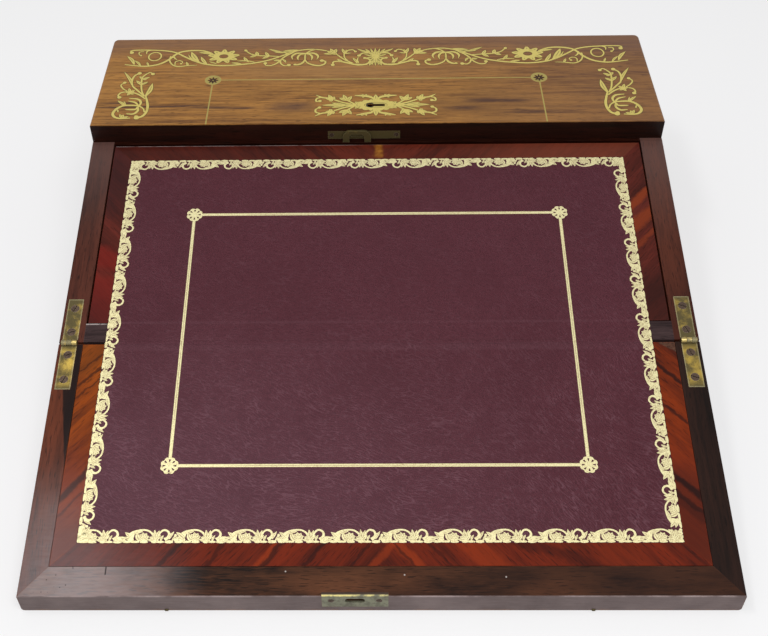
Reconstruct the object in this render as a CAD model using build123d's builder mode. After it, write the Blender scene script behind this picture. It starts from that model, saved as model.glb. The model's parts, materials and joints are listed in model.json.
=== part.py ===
from build123d import *
import os
from math import atan2, cos, degrees, hypot, sin, sqrt, tan

# A rosewood writing slope, open for writing, in millimetres. X runs to the writer's right, Y away
# from the writer, Z up. The origin is on the table, under the middle of the whole open object.
# The box folds on a line across its middle. In front of that line lies the writing lid, a wedge
# that turns over by half a turn to shut the box. Behind it stands the base, with a lift-up flap
# over the paper compartment and a hinged lid over the pens and ink at the back.
# A place on the slope is a run, measured along the slope from the fold and away from the writer,
# and a depth, measured square into the wood from the slope's surface.

# ---- driving dimensions ----

box_width = 400.0
box_depth = 273.2           # shut box, from the fold to the back
slope_run = 158.5           # level distance from the fold to either end of the slope
fold_height = 49.4
lip_height = 14.5
closing_gap = 0.5           # between the two slopes of the shut box
fold_setback = 0.8          # each half stops this far from the fold line
lip_gap = 3.5               # from the shut lip to the pen lid
corner_radius = 4.0         # upright rear corners
long_edge_radius = 2.0      # rounded top edges of the shut box
arris = 0.5                 # softened edges

side_width = 15.4           # side boards of base and lid
lip_width = 16.7            # lip rail, measured level
front_board = 9.0
back_board = 10.0
bottom_board = 6.0
lid_board_thickness = 5.0
cross_rail_width = 14.6     # along the slope
cross_rail_depth = 9.0
divider_thickness = 9.0
flap_rest = 6.0             # width of the ledges and rebates under the flaps
ledge_depth = 7.0
lid_ledge_depth = 4.0

flap_core = 5.0
facing = 1.0                # the banding's thickness, and the bed for the leather
leather_thickness = 0.9
leather_half_width = 171.0
leather_front = 131.6       # along the slope, from the fold
leather_back = 148.1
rear_flap_back = 161.1
rear_flap_side_gap = 1.3
front_flap_gap = 0.3
flap_hinge_gap = 0.3

veneer = 1.0
inlay_depth = 0.6
inlay_joint = 0.1
string_width = 0.9
string_x = 118.6            # the two strings that run from front to back
string_inset = 57.2         # from the shut box's front and back to the strings across
ring_radius = 6.0
ring_petals = 8
petal_reach = 2.6
petal_size = (1.7, 0.6)     # half length, half width

hinge_inset = 1.9           # from the outside of the box to the hinge
hinge_width = 9.7
hinge_leaf_length = 32.8
hinge_leaf = 1.4
hinge_sink = 0.1            # leaf below the wood around it
hinge_knuckle = 2.0
hinge_pin = 0.8
knuckle_gap = 0.2
pin_play = 0.05
hinge_screw_runs = (8.3, 25.8)
hinge_screw_head = 2.75
hinge_screw_length = 9.0

lock_x = -13.4              # middle of the bolt, staple and strike
bolt_height = 4.7           # bolt's middle above the base's shoulder
bolt_width = 8.6
bolt_thickness = 2.8
bolt_throw = 8.0
bolt_play = 0.1
bolt_recess = 0.2           # nose behind the lock's face when drawn back
bolt_body = (18.5, 11.0)    # across, front to back
selvedge_x = -8.4
selvedge_width = 50.4
selvedge_height = 6.4
selvedge_thickness = 1.5
lock_case_width = 40.0
lock_case_depth = 27.0
lock_wall = 1.0
keyhole_x = -3.9
keyhole_back = 21.0         # behind the pen lid's front edge
keyhole_radius = 2.2
keyhole_slot = (10.1, 2.4)  # length from the round hole's middle, width
key_post_radius = 1.0
key_bit_sweep = 3.0
escutcheon_size = (22.0, 9.0)

staple_play = (1.05, 0.7)   # beside and above the bolt
staple_leg = 4.4
staple_crown = 2.4
staple_thickness = 1.8
staple_standoff = 0.5       # clear of the pen lid's front edge
staple_root = 6.0
staple_bend = 5.0

strike_width = 36.8
strike_height = 10.6
strike_flange = 2.4
strike_thickness = 1.2
strike_slot_play = (1.2, 0.5)  # beside, and above and below the bolt
strike_screw_x = 13.3       # either side of the slot

pen_hinge_x = 120.0
pen_hinge_width = 30.0
pen_hinge_leaf_depth = 8.5
pen_hinge_leaf = 1.2
pen_hinge_sink = 0.05
pen_hinge_knuckle = 1.8
pen_hinge_pin = 0.7
pen_hinge_screw_x = 9.0
pen_hinge_screw_inset = 5.3
small_screw_head = 1.8
small_screw_length = 7.0

bottle_width = 42.0
bottle_body = 34.0
bottle_wall = 3.0
bottle_corner = 4.0
neck_radius = 10.0
neck_height = 9.0
neck_bore = 7.5
cap_radius = 14.0
cap_height = 12.0
cap_lift = 0.3              # rim above the bottle's shoulder
cap_headroom = 2.5          # under the shut pen lid
well_play = 1.0
partition = 5.0
well_floor = 4.0
rim_drop = 6.0              # tray, dividers and partitions below the base's shoulder
tray_thickness = 14.0
tray_play = 0.5
tray_scoop_radius = 26.0
tray_scoop_depth = 9.0
tray_end_land = 14.0
tray_ledge = 5.0

# ---- places worked out from them ----

half_width = box_width / 2
inner_x = half_width - side_width
rise = fold_height - lip_height
slope_angle = atan2(rise, slope_run)
shoulder = fold_height + rise
closed_height = 2 * fold_height + closing_gap * cos(slope_angle)
flap_thickness = flap_core + facing

lip_y = -(slope_run + box_depth + pen_hinge_knuckle) / 2
fold_y = lip_y + slope_run
back_y = fold_y + box_depth
base_front_y = fold_y + fold_setback
lid_rear_y = fold_y - fold_setback
shoulder_y = fold_y + slope_run
pen_lid_y = shoulder_y + lip_gap
inside_front_y = base_front_y + front_board
inside_back_y = back_y - back_board
divider_y = shoulder_y + fold_setback
divider_back_y = divider_y + divider_thickness
rebate_y = divider_y - flap_rest
lip_rest_y = lip_y + lip_width
lid_front_y = lip_rest_y + flap_rest
lid_fold_y = lid_rear_y - front_board

slope = Plane(
    origin=(0, fold_y, fold_height),
    x_dir=(1, 0, 0),
    z_dir=(0, -sin(slope_angle), cos(slope_angle)),
)
slope_way = Axis((0, 0, 0), slope.y_dir)


def slope_point(run, depth=0.0):
    """Y and Z of a place on the slope."""
    y = fold_y + run * cos(slope_angle) + depth * sin(slope_angle)
    z = fold_height + run * sin(slope_angle) - depth * cos(slope_angle)
    return y, z


def slope_z(y, depth=0.0):
    """Height at a level place y of the plane that lies depth under the slope."""
    return fold_height + (y - fold_y) * tan(slope_angle) - depth / cos(slope_angle)


fold_axis = slope_point(0, -closing_gap / 2)
pen_hinge_axis = (back_y, shoulder)
bolt_z = shoulder + bolt_height
strike_z = closed_height - bolt_z
keyhole_y = pen_lid_y + keyhole_back
pen_string_y = back_y - string_inset
lid_string_y = 2 * fold_axis[0] - (fold_y + string_inset)
well_width = bottle_width + 2 * well_play
well_x = inner_x - well_width
partition_y = inside_back_y - well_width - partition
rim = shoulder - rim_drop
hinge_x = half_width - hinge_inset - hinge_width / 2
hinge_seat = slope.offset(-hinge_sink)
strike_seat = Plane(origin=(0, lip_y, 0), x_dir=(1, 0, 0), z_dir=(0, -1, 0))
lock_seat = Plane(origin=(0, pen_lid_y, 0), x_dir=(1, 0, 0), z_dir=(0, -1, 0))
base_hinge_seat = Plane.XY.offset(shoulder - pen_hinge_sink)
lid_hinge_seat = Plane(
    origin=(0, 0, shoulder + pen_hinge_sink),
    x_dir=(1, 0, 0),
    z_dir=(0, 0, -1),
)

hands = (("left", -1), ("right", 1))
outermost = {-1: 0, 1: -1}


# ---- helpers for shapes that repeat ----

def block(low, high, mode=Mode.ADD):
    """A square block between two opposite corners."""
    middle = tuple((a + b) / 2 for a, b in zip(low, high))
    size = [b - a for a, b in zip(low, high)]
    with Locations(middle):
        Box(*size, mode=mode)


def outline(points):
    """A closed outline of straight lines, filled."""
    with BuildLine() as border:
        Polyline(*points, close=True)
    make_face(border.edges())


def prism(points, x_low, x_high, mode=Mode.ADD):
    """A profile given by its Y and Z points, drawn out along X."""
    with BuildSketch(Plane.YZ.offset(x_low)) as profile:
        outline(points)
    extrude(profile.sketch, amount=x_high - x_low, mode=mode)


def rod(radius, middle, x_low, x_high, mode=Mode.ADD):
    """A round bar along X, with its middle at a Y and Z place."""
    with BuildSketch(Plane.YZ.offset(x_low)) as profile:
        with Locations(middle):
            Circle(radius)
    extrude(profile.sketch, amount=x_high - x_low, mode=mode)


def slope_sheet(points, depth, thickness, mode=Mode.ADD):
    """A sheet that lies along the slope, outlined by X and run."""
    with BuildSketch(slope.offset(-depth)) as sheet:
        outline(points)
    extrude(sheet.sketch, amount=-thickness, mode=mode)


def corners(x_low, x_high, y_low, y_high):
    """The four corners of a rectangle, in order."""
    return [(x_low, y_low), (x_high, y_low), (x_high, y_high), (x_low, y_high)]


def screw_forms(seat, places, head_radius, length, mode):
    """The countersunk heads and shanks of wood screws driven into a plane's back."""
    with BuildSketch(seat) as heads:
        with Locations(*places):
            Circle(head_radius)
    extrude(heads.sketch, amount=-head_radius * 0.55, taper=45, mode=mode)
    with BuildSketch(seat) as shanks:
        with Locations(*places):
            Circle(head_radius * 0.45)
    extrude(shanks.sketch, amount=-length, mode=mode)


def screws(seat, places, head_radius, length):
    """Slotted screws, each left at its own angle."""
    with BuildPart() as fasteners:
        screw_forms(seat, places, head_radius, length, Mode.ADD)
        with BuildSketch(seat) as slots:
            for index, place in enumerate(places):
                with Locations(place):
                    Rectangle(2.1 * head_radius, 0.28 * head_radius, rotation=20 + 47 * index)
        extrude(slots.sketch, amount=-head_radius * 0.25, mode=Mode.SUBTRACT)
    return fasteners


def keyhole(bottom):
    """A keyhole cut down from the pen lid's top, its slot towards the writer's right."""
    with BuildSketch(Plane.XY.offset(closed_height)) as hole:
        with Locations((keyhole_x, keyhole_y)):
            Circle(keyhole_radius)
        with Locations((keyhole_x + keyhole_slot[0] / 2, keyhole_y)):
            Rectangle(*keyhole_slot)
    extrude(hole.sketch, amount=bottom - closed_height, mode=Mode.SUBTRACT)


def string_inlay(low_z, end_y, across_y, mode):
    """Two strings from an edge to a ring each, and one string from ring to ring."""
    toward = 1 if across_y > end_y else -1
    reach = ring_radius + inlay_joint
    for side in (-1, 1):
        y_low, y_high = sorted((end_y, across_y - toward * reach))
        x_low = side * string_x - string_width / 2
        block((x_low, y_low, low_z), (x_low + string_width, y_high, low_z + inlay_depth), mode)
    block((reach - string_x, across_y - string_width / 2, low_z),
          (string_x - reach, across_y + string_width / 2, low_z + inlay_depth), mode)
    with BuildSketch(Plane.XY.offset(low_z)) as rings:
        for side in (-1, 1):
            with Locations((side * string_x, across_y)):
                Circle(ring_radius)
                with PolarLocations(petal_reach, ring_petals):
                    Ellipse(*petal_size, mode=Mode.SUBTRACT)
    extrude(rings.sketch, amount=inlay_depth, mode=mode)


def write(piece, label):
    """Name a finished piece and save it."""
    piece.part.label = label
    export_step(piece.part, f"parts/{label}.step")


os.makedirs("parts", exist_ok=True)


# ---- fold hinges: leaves let into the side boards, three knuckles each ----

knuckle_length = (hinge_width - 2 * knuckle_gap) / 3
knuckle_clear = hinge_knuckle + 0.75 * knuckle_gap


def hinge_span(side):
    """Lowest and highest X of one fold hinge."""
    return side * hinge_x - hinge_width / 2, side * hinge_x + hinge_width / 2


def hinge_screw_places(side, toward):
    """X and run of one leaf's screws."""
    return [(side * hinge_x, toward * run) for run in hinge_screw_runs]


def hinge_pocket(side, toward):
    """The recess for one leaf, the knuckles and the screws, cut from a side board."""
    play = knuckle_gap / 2
    low, high = hinge_span(side)
    run_low, run_high = sorted((0, toward * (hinge_leaf_length + play)))
    slope_sheet(corners(low - play, high + play, run_low, run_high), 0,
                hinge_sink + hinge_leaf, Mode.SUBTRACT)
    rod(hinge_knuckle + knuckle_gap, fold_axis, low - play, high + play, Mode.SUBTRACT)
    screw_forms(hinge_seat, hinge_screw_places(side, toward), hinge_screw_head,
                hinge_screw_length, Mode.SUBTRACT)


for hand, side in hands:
    low, high = hinge_span(side)
    middle_low = low + knuckle_length + knuckle_gap
    middle_high = high - knuckle_length - knuckle_gap

    with BuildPart() as base_leaf:
        slope_sheet(corners(low, high, 0, hinge_leaf_length), hinge_sink, hinge_leaf)
        rod(hinge_knuckle, fold_axis, low, high)
        rod(knuckle_clear, fold_axis, middle_low - knuckle_gap, middle_high + knuckle_gap,
            Mode.SUBTRACT)
        rod(hinge_pin, fold_axis, low, high, Mode.SUBTRACT)
        screw_forms(hinge_seat, hinge_screw_places(side, 1), hinge_screw_head,
                    hinge_screw_length, Mode.SUBTRACT)
    write(base_leaf, f"{hand}_hinge_base_leaf")

    with BuildPart() as lid_leaf:
        slope_sheet(corners(low, high, -hinge_leaf_length, 0), hinge_sink, hinge_leaf)
        rod(hinge_knuckle, fold_axis, low, high)
        rod(knuckle_clear, fold_axis, low, middle_low, Mode.SUBTRACT)
        rod(knuckle_clear, fold_axis, middle_high, high, Mode.SUBTRACT)
        rod(hinge_pin + pin_play, fold_axis, low, high, Mode.SUBTRACT)
        screw_forms(hinge_seat, hinge_screw_places(side, -1), hinge_screw_head,
                    hinge_screw_length, Mode.SUBTRACT)
    write(lid_leaf, f"{hand}_hinge_lid_leaf")

with BuildPart() as hinge_pins:
    for hand, side in hands:
        rod(hinge_pin, fold_axis, *hinge_span(side))
write(hinge_pins, "hinge_pins")

for half, toward in (("base", 1), ("lid", -1)):
    places = [place for hand, side in hands for place in hinge_screw_places(side, toward)]
    hinge_screws = screws(hinge_seat, places, hinge_screw_head, hinge_screw_length)
    write(hinge_screws, f"{half}_hinge_screws")


# ---- pen lid hinges: butts let into the joint at the back ----

pen_knuckle_length = (pen_hinge_width - 2 * knuckle_gap) / 3
pen_knuckle_clear = pen_hinge_knuckle + 0.75 * knuckle_gap
pen_hinge_middles = (-pen_hinge_x, pen_hinge_x)
pen_hinge_screw_spots = [
    (middle + offset, back_y - pen_hinge_screw_inset)
    for middle in pen_hinge_middles
    for offset in (-pen_hinge_screw_x, pen_hinge_screw_x)
]
turned_over_spots = [(x, -y) for x, y in pen_hinge_screw_spots]


def leaf_block(middle, play, z_low, z_high, mode=Mode.ADD):
    """One butt's leaf, or the recess for it with some play."""
    half = pen_hinge_width / 2 + play
    block((middle - half, back_y - pen_hinge_leaf_depth - play, z_low),
          (middle + half, back_y, z_high), mode)


def pen_hinge_recess(z_low, z_high, seat, spots):
    """The recesses for two leaves, their knuckles and screws."""
    play = knuckle_gap / 2
    for middle in pen_hinge_middles:
        half = pen_hinge_width / 2 + play
        leaf_block(middle, play, z_low, z_high, Mode.SUBTRACT)
        rod(pen_hinge_knuckle + knuckle_gap, pen_hinge_axis, middle - half, middle + half,
            Mode.SUBTRACT)
    screw_forms(seat, spots, small_screw_head, small_screw_length, Mode.SUBTRACT)


leaf_reach = pen_hinge_sink + pen_hinge_leaf
with BuildPart() as pen_hinge_base_leaves:
    for middle in pen_hinge_middles:
        low, high = middle - pen_hinge_width / 2, middle + pen_hinge_width / 2
        leaf_block(middle, 0, shoulder - leaf_reach, shoulder - pen_hinge_sink)
        rod(pen_hinge_knuckle, pen_hinge_axis, low, high)
        rod(pen_knuckle_clear, pen_hinge_axis, low + pen_knuckle_length,
            high - pen_knuckle_length, Mode.SUBTRACT)
        rod(pen_hinge_pin, pen_hinge_axis, low, high, Mode.SUBTRACT)
    screw_forms(base_hinge_seat, pen_hinge_screw_spots, small_screw_head, small_screw_length,
                Mode.SUBTRACT)
write(pen_hinge_base_leaves, "pen_hinge_base_leaves")

with BuildPart() as pen_hinge_lid_leaves:
    for middle in pen_hinge_middles:
        low, high = middle - pen_hinge_width / 2, middle + pen_hinge_width / 2
        own_low = low + pen_knuckle_length + knuckle_gap
        own_high = high - pen_knuckle_length - knuckle_gap
        leaf_block(middle, 0, shoulder + pen_hinge_sink, shoulder + leaf_reach)
        rod(pen_hinge_knuckle, pen_hinge_axis, low, high)
        rod(pen_knuckle_clear, pen_hinge_axis, low, own_low, Mode.SUBTRACT)
        rod(pen_knuckle_clear, pen_hinge_axis, own_high, high, Mode.SUBTRACT)
        rod(pen_hinge_pin + pin_play, pen_hinge_axis, low, high, Mode.SUBTRACT)
    screw_forms(lid_hinge_seat, turned_over_spots, small_screw_head, small_screw_length,
                Mode.SUBTRACT)
write(pen_hinge_lid_leaves, "pen_hinge_lid_leaves")

with BuildPart() as pen_hinge_pins:
    for middle in pen_hinge_middles:
        rod(pen_hinge_pin, pen_hinge_axis, middle - pen_hinge_width / 2,
            middle + pen_hinge_width / 2)
write(pen_hinge_pins, "pen_hinge_pins")

pen_hinge_base_screws = screws(base_hinge_seat, pen_hinge_screw_spots, small_screw_head,
                               small_screw_length)
write(pen_hinge_base_screws, "pen_hinge_base_screws")
pen_hinge_lid_screws = screws(lid_hinge_seat, turned_over_spots, small_screw_head,
                              small_screw_length)
write(pen_hinge_lid_screws, "pen_hinge_lid_screws")


# ---- base ----

side_profile = [
    (base_front_y, 0),
    (back_y, 0),
    (back_y, shoulder),
    (shoulder_y, shoulder),
    (base_front_y, slope_z(base_front_y)),
]
for hand, side in hands:
    with BuildPart() as base_side:
        prism(side_profile, *sorted((side * inner_x, side * half_width)))
        rear_uprights = base_side.edges().filter_by(Axis.Z).group_by(Axis.Y)[-1]
        fillet(rear_uprights.sort_by(Axis.X)[outermost[side]], corner_radius)
        slope_edges = base_side.edges().filter_by(slope_way).sort_by(Axis.X)
        fillet(slope_edges[outermost[side]], arris)
        hinge_pocket(side, 1)
    write(base_side, f"base_{hand}_side")

with BuildPart() as base_front:
    prism(
        [
            (base_front_y, 0),
            (inside_front_y, 0),
            (inside_front_y, slope_z(inside_front_y, cross_rail_depth)),
            (base_front_y, slope_z(base_front_y, cross_rail_depth)),
        ],
        -inner_x,
        inner_x,
    )
write(base_front, "base_front")

with BuildPart() as base_back:
    block((-inner_x, inside_back_y, 0), (inner_x, back_y, shoulder))
    pen_hinge_recess(shoulder - leaf_reach, shoulder, base_hinge_seat, pen_hinge_screw_spots)
write(base_back, "base_back")

with BuildPart() as base_bottom:
    block((-inner_x, inside_front_y, 0), (inner_x, inside_back_y, bottom_board))
write(base_bottom, "base_bottom")

rail_front_run = fold_setback / cos(slope_angle)
leather_across = (-leather_half_width, leather_half_width)
with BuildPart() as cross_rail:
    prism(
        [
            (base_front_y, slope_z(base_front_y)),
            slope_point(cross_rail_width),
            slope_point(cross_rail_width, cross_rail_depth),
            (base_front_y, slope_z(base_front_y, cross_rail_depth)),
        ],
        -inner_x,
        inner_x,
    )
    fillet(cross_rail.edges().filter_by(Axis.X).sort_by(Axis.Z)[-1], arris)
    slope_sheet(corners(*leather_across, 0, cross_rail_width), 0, facing, Mode.SUBTRACT)
write(cross_rail, "cross_rail")

with BuildPart() as cross_rail_leather:
    slope_sheet(corners(*leather_across, rail_front_run + arris, cross_rail_width),
                facing - leather_thickness, leather_thickness)
write(cross_rail_leather, "cross_rail_leather")

staple_window = bolt_width + 2 * staple_play[0]
staple_width = staple_window + 2 * staple_leg
window_height = bolt_height + bolt_thickness / 2 + staple_play[1]
staple_height = window_height + staple_crown
staple_back_y = pen_lid_y - staple_standoff
staple_plane = Plane(
    origin=(lock_x, staple_back_y, shoulder),
    x_dir=(1, 0, 0),
    z_dir=(0, -1, 0),
)
with BuildPart() as lock_staple:
    with BuildSketch(staple_plane) as arch:
        with Locations((0, (staple_height - staple_root) / 2)):
            Rectangle(staple_width, staple_height + staple_root)
        fillet(arch.vertices().group_by(Axis.Y)[-1], staple_bend)
    extrude(amount=staple_thickness)
    with BuildSketch(staple_plane) as window:
        with Locations((0, (window_height - staple_root) / 2)):
            Rectangle(staple_window, window_height + staple_root)
        fillet(window.vertices().group_by(Axis.Y)[-1], staple_bend - staple_crown)
    extrude(amount=staple_thickness, mode=Mode.SUBTRACT)
write(lock_staple, "lock_staple")

with BuildPart() as pen_divider:
    prism(
        [
            (rebate_y, bottom_board),
            (divider_back_y, bottom_board),
            (divider_back_y, shoulder),
            (divider_y, shoulder),
            (divider_y, slope_z(divider_y, flap_thickness)),
            (rebate_y, slope_z(rebate_y, flap_thickness)),
        ],
        -inner_x,
        inner_x,
    )
    add(lock_staple.part, mode=Mode.SUBTRACT)
write(pen_divider, "pen_divider")


def ledges(y_front, y_rear, depth):
    """Two strips on the inner faces of the sides, with their tops under a flap."""
    profile = [
        (y_front, slope_z(y_front, flap_thickness)),
        (y_rear, slope_z(y_rear, flap_thickness)),
        (y_rear, slope_z(y_rear, flap_thickness + depth)),
        (y_front, slope_z(y_front, flap_thickness + depth)),
    ]
    with BuildPart() as strips:
        prism(profile, -inner_x, -inner_x + flap_rest)
        prism(profile, inner_x - flap_rest, inner_x)
    return strips


cross_rail_back_y = slope_point(cross_rail_width, cross_rail_depth)[0]
write(ledges(cross_rail_back_y, rebate_y, ledge_depth), "rear_flap_ledges")


# ---- pens and ink, at the back of the base ----

with BuildPart() as well_dividers:
    for side in (-1, 1):
        x_low, x_high = sorted((side * well_x, side * (well_x - partition)))
        block((x_low, divider_back_y, bottom_board), (x_high, inside_back_y, rim))
write(well_dividers, "well_dividers")

with BuildPart() as well_partitions:
    middle_x = well_x - partition
    for x_low, x_high in ((-inner_x, -well_x), (-middle_x, middle_x), (well_x, inner_x)):
        block((x_low, partition_y, bottom_board), (x_high, partition_y + partition, rim))
write(well_partitions, "well_partitions")

well_floor_top = shoulder - cap_headroom - cap_height - cap_lift - bottle_body
with BuildPart() as well_floors:
    for side in (-1, 1):
        x_low, x_high = sorted((side * well_x, side * inner_x))
        block((x_low, partition_y + partition, well_floor_top - well_floor),
              (x_high, inside_back_y, well_floor_top))
write(well_floors, "well_floors")

tray_half = well_x - partition - tray_play
tray_front_y = divider_back_y + tray_play
tray_rear_y = partition_y - tray_play
tray_middle_y = (tray_front_y + tray_rear_y) / 2
scoop_z = rim - tray_scoop_depth + tray_scoop_radius
scoop_edge = sqrt(tray_scoop_radius**2 - (tray_scoop_radius - tray_scoop_depth)**2)
scoop_half = tray_half - tray_end_land - scoop_edge
with BuildPart() as pen_tray:
    block((-tray_half, tray_front_y, rim - tray_thickness), (tray_half, tray_rear_y, rim))
    rod(tray_scoop_radius, (tray_middle_y, scoop_z), -scoop_half, scoop_half, Mode.SUBTRACT)
    with Locations((-scoop_half, tray_middle_y, scoop_z), (scoop_half, tray_middle_y, scoop_z)):
        Sphere(tray_scoop_radius, mode=Mode.SUBTRACT)
write(pen_tray, "pen_tray")

with BuildPart() as pen_tray_ledges:
    for side in (-1, 1):
        wall = side * (well_x - partition)
        x_low, x_high = sorted((wall, wall - side * tray_ledge))
        block((x_low, divider_back_y, rim - tray_thickness - tray_ledge),
              (x_high, partition_y, rim - tray_thickness))
write(pen_tray_ledges, "pen_tray_ledges")

foot = Plane.XY.offset(well_floor_top)
cap_rim = foot.offset(bottle_body + cap_lift)
for hand, side in hands:
    spot = (side * (well_x + well_width / 2), inside_back_y - well_width / 2)

    with BuildPart() as ink_bottle:
        with BuildSketch(foot):
            with Locations(spot):
                Rectangle(bottle_width, bottle_width)
        extrude(amount=bottle_body)
        chamfer(ink_bottle.edges().filter_by(Axis.Z), bottle_corner)
        fillet(ink_bottle.faces().sort_by(Axis.Z)[-1].edges(), bottle_wall / 2)
        with BuildSketch(foot.offset(bottle_body)):
            with Locations(spot):
                Circle(neck_radius)
        extrude(amount=neck_height)
        inside = bottle_width - 2 * bottle_wall
        with BuildSketch(foot.offset(bottle_wall)):
            with Locations(spot):
                RectangleRounded(inside, inside, bottle_corner)
        extrude(amount=bottle_body - 2 * bottle_wall, mode=Mode.SUBTRACT)
        with BuildSketch(foot.offset(bottle_wall)):
            with Locations(spot):
                Circle(neck_bore)
        extrude(amount=bottle_body + neck_height, mode=Mode.SUBTRACT)
    write(ink_bottle, f"{hand}_ink_bottle")

    with BuildPart() as ink_cap:
        with BuildSketch(cap_rim):
            with Locations(spot):
                Circle(cap_radius)
        extrude(amount=cap_height)
        fillet(ink_cap.faces().sort_by(Axis.Z)[-1].edges(), cap_height / 8)
        with BuildSketch(cap_rim):
            with Locations(spot):
                Circle(neck_radius + pin_play)
        extrude(amount=neck_height, mode=Mode.SUBTRACT)
    write(ink_cap, f"{hand}_ink_cap")


# ---- flaps: a board each, with three strips of crossbanding and the leather on it ----

def flap(name, half, front, rear, bands, leather_runs, upright_y):
    """One writing flap, cut off upright at its fold end where upright_y says."""
    pieces = {
        "board": (corners(-half, half, front, rear), facing, flap_core),
        "leather": (corners(*leather_across, *leather_runs), facing - leather_thickness,
                    leather_thickness),
    }
    for place, points in bands.items():
        pieces[f"{place}_band"] = (points, 0, facing)
    for part_name, (points, depth, thickness) in pieces.items():
        with BuildPart() as piece:
            slope_sheet(points, depth, thickness)
            if part_name == "back_band":
                fillet(piece.edges().filter_by(Axis.X).sort_by(Axis.Z)[-1], arris)
            if upright_y is not None:
                block((-half_width, upright_y, 0), (half_width, upright_y + box_depth, shoulder),
                      Mode.SUBTRACT)
        write(piece, f"{name}_{part_name}")


def side_band(side, half, outer_run, inner_run, fold_run):
    """A band along one side, mitred at its far end and square at the fold."""
    return [
        (side * half, fold_run),
        (side * half, outer_run),
        (side * leather_half_width, inner_run),
        (side * leather_half_width, fold_run),
    ]


def end_band(half, outer_run, inner_run):
    """A band across the far end, mitred at both corners."""
    return [
        (-half, outer_run),
        (half, outer_run),
        (leather_half_width, inner_run),
        (-leather_half_width, inner_run),
    ]


rear_half = inner_x - rear_flap_side_gap
rear_start = cross_rail_width + flap_hinge_gap
flap(
    name="rear_flap",
    half=rear_half,
    front=rear_start,
    rear=rear_flap_back,
    bands={
        "left": side_band(-1, rear_half, rear_flap_back, leather_back, rear_start),
        "right": side_band(1, rear_half, rear_flap_back, leather_back, rear_start),
        "back": end_band(rear_half, rear_flap_back, leather_back),
    },
    leather_runs=(rear_start, leather_back),
    upright_y=None,
)

front_half = inner_x - front_flap_gap
front_end = front_flap_gap - (slope_run - lip_width) / cos(slope_angle)
flap(
    name="front_flap",
    half=front_half,
    front=front_end,
    rear=0,
    bands={
        "left": side_band(-1, front_half, front_end, -leather_front, 0),
        "right": side_band(1, front_half, front_end, -leather_front, 0),
        "lip": end_band(front_half, front_end, -leather_front),
    },
    leather_runs=(-leather_front, 0),
    upright_y=lid_rear_y - flap_hinge_gap,
)


# ---- writing lid, lying open on the table ----

with BuildPart() as lid_form:
    prism(
        [
            (lip_y, 0),
            (lid_rear_y, 0),
            (lid_rear_y, slope_z(lid_rear_y)),
            (lip_y, slope_z(lip_y)),
        ],
        -half_width,
        half_width,
    )
    underside_edges = lid_form.faces().sort_by(Axis.Z)[0].edges().filter_by(Axis.Y)
    fillet(underside_edges, long_edge_radius)
    lip_edge = lid_form.edges().filter_by(Axis.X).group_by(Axis.Y)[0].sort_by(Axis.Z)[-1]
    fillet([*lid_form.edges().filter_by(slope_way), lip_edge], arris)

for hand, side in hands:
    with BuildPart() as lid_side:
        with BuildSketch(Plane.XY.offset(veneer)):
            outline([
                (side * half_width, lid_rear_y),
                (side * inner_x, lid_rear_y),
                (side * inner_x, lip_rest_y),
                (side * half_width, lip_y),
            ])
        extrude(amount=fold_height)
        add(lid_form.part, mode=Mode.INTERSECT)
        hinge_pocket(side, -1)
    write(lid_side, f"lid_{hand}_side")

strike_foot = slope_z(lip_y) - strike_height
strike_back_y = lip_y + strike_flange
strike_inner_y = lip_y + strike_thickness
strike_profile = [
    (lip_y, slope_z(lip_y)),
    (strike_back_y, slope_z(strike_back_y)),
    (strike_back_y, slope_z(strike_back_y, strike_thickness)),
    (strike_inner_y, slope_z(strike_inner_y, strike_thickness)),
    (strike_inner_y, strike_foot),
    (lip_y, strike_foot),
]
strike_span = (lock_x - strike_width / 2, lock_x + strike_width / 2)
strike_screw_spots = [(lock_x - strike_screw_x, strike_z), (lock_x + strike_screw_x, strike_z)]
strike_slot_depth = bolt_throw - lip_gap + strike_thickness


def strike_slot():
    """The slot for the bolt, through the strike plate and on into the lip rail."""
    slot_width = bolt_width + 2 * strike_slot_play[0]
    slot_height = bolt_thickness + 2 * strike_slot_play[1]
    with BuildSketch(strike_seat) as slot:
        with Locations((lock_x, strike_z)):
            RectangleRounded(slot_width, slot_height, slot_height * 0.45)
    extrude(slot.sketch, amount=-strike_slot_depth, mode=Mode.SUBTRACT)


with BuildPart() as lid_lip_rail:
    prism(
        [
            (lip_y, veneer),
            (lid_front_y, veneer),
            (lid_front_y, slope_z(lid_front_y, flap_thickness)),
            (lip_rest_y, slope_z(lip_rest_y, flap_thickness)),
            (lip_rest_y, slope_z(lip_rest_y)),
            (lip_y, slope_z(lip_y)),
        ],
        -half_width,
        half_width,
    )
    with BuildSketch():
        outline([
            (-half_width, lip_y),
            (half_width, lip_y),
            (inner_x, lip_rest_y),
            (inner_x, lid_front_y),
            (-inner_x, lid_front_y),
            (-inner_x, lip_rest_y),
        ])
    extrude(amount=fold_height, mode=Mode.INTERSECT)
    add(lid_form.part, mode=Mode.INTERSECT)
    prism(strike_profile, *strike_span, Mode.SUBTRACT)
    strike_slot()
    screw_forms(strike_seat, strike_screw_spots, small_screw_head, small_screw_length,
                Mode.SUBTRACT)
write(lid_lip_rail, "lid_lip_rail")

with BuildPart() as strike_plate:
    prism(strike_profile, *strike_span)
    add(lid_form.part, mode=Mode.INTERSECT)
    strike_slot()
    screw_forms(strike_seat, strike_screw_spots, small_screw_head, small_screw_length,
                Mode.SUBTRACT)
write(strike_plate, "strike_plate")
strike_screws = screws(strike_seat, strike_screw_spots, small_screw_head, small_screw_length)
write(strike_screws, "strike_screws")

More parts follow.
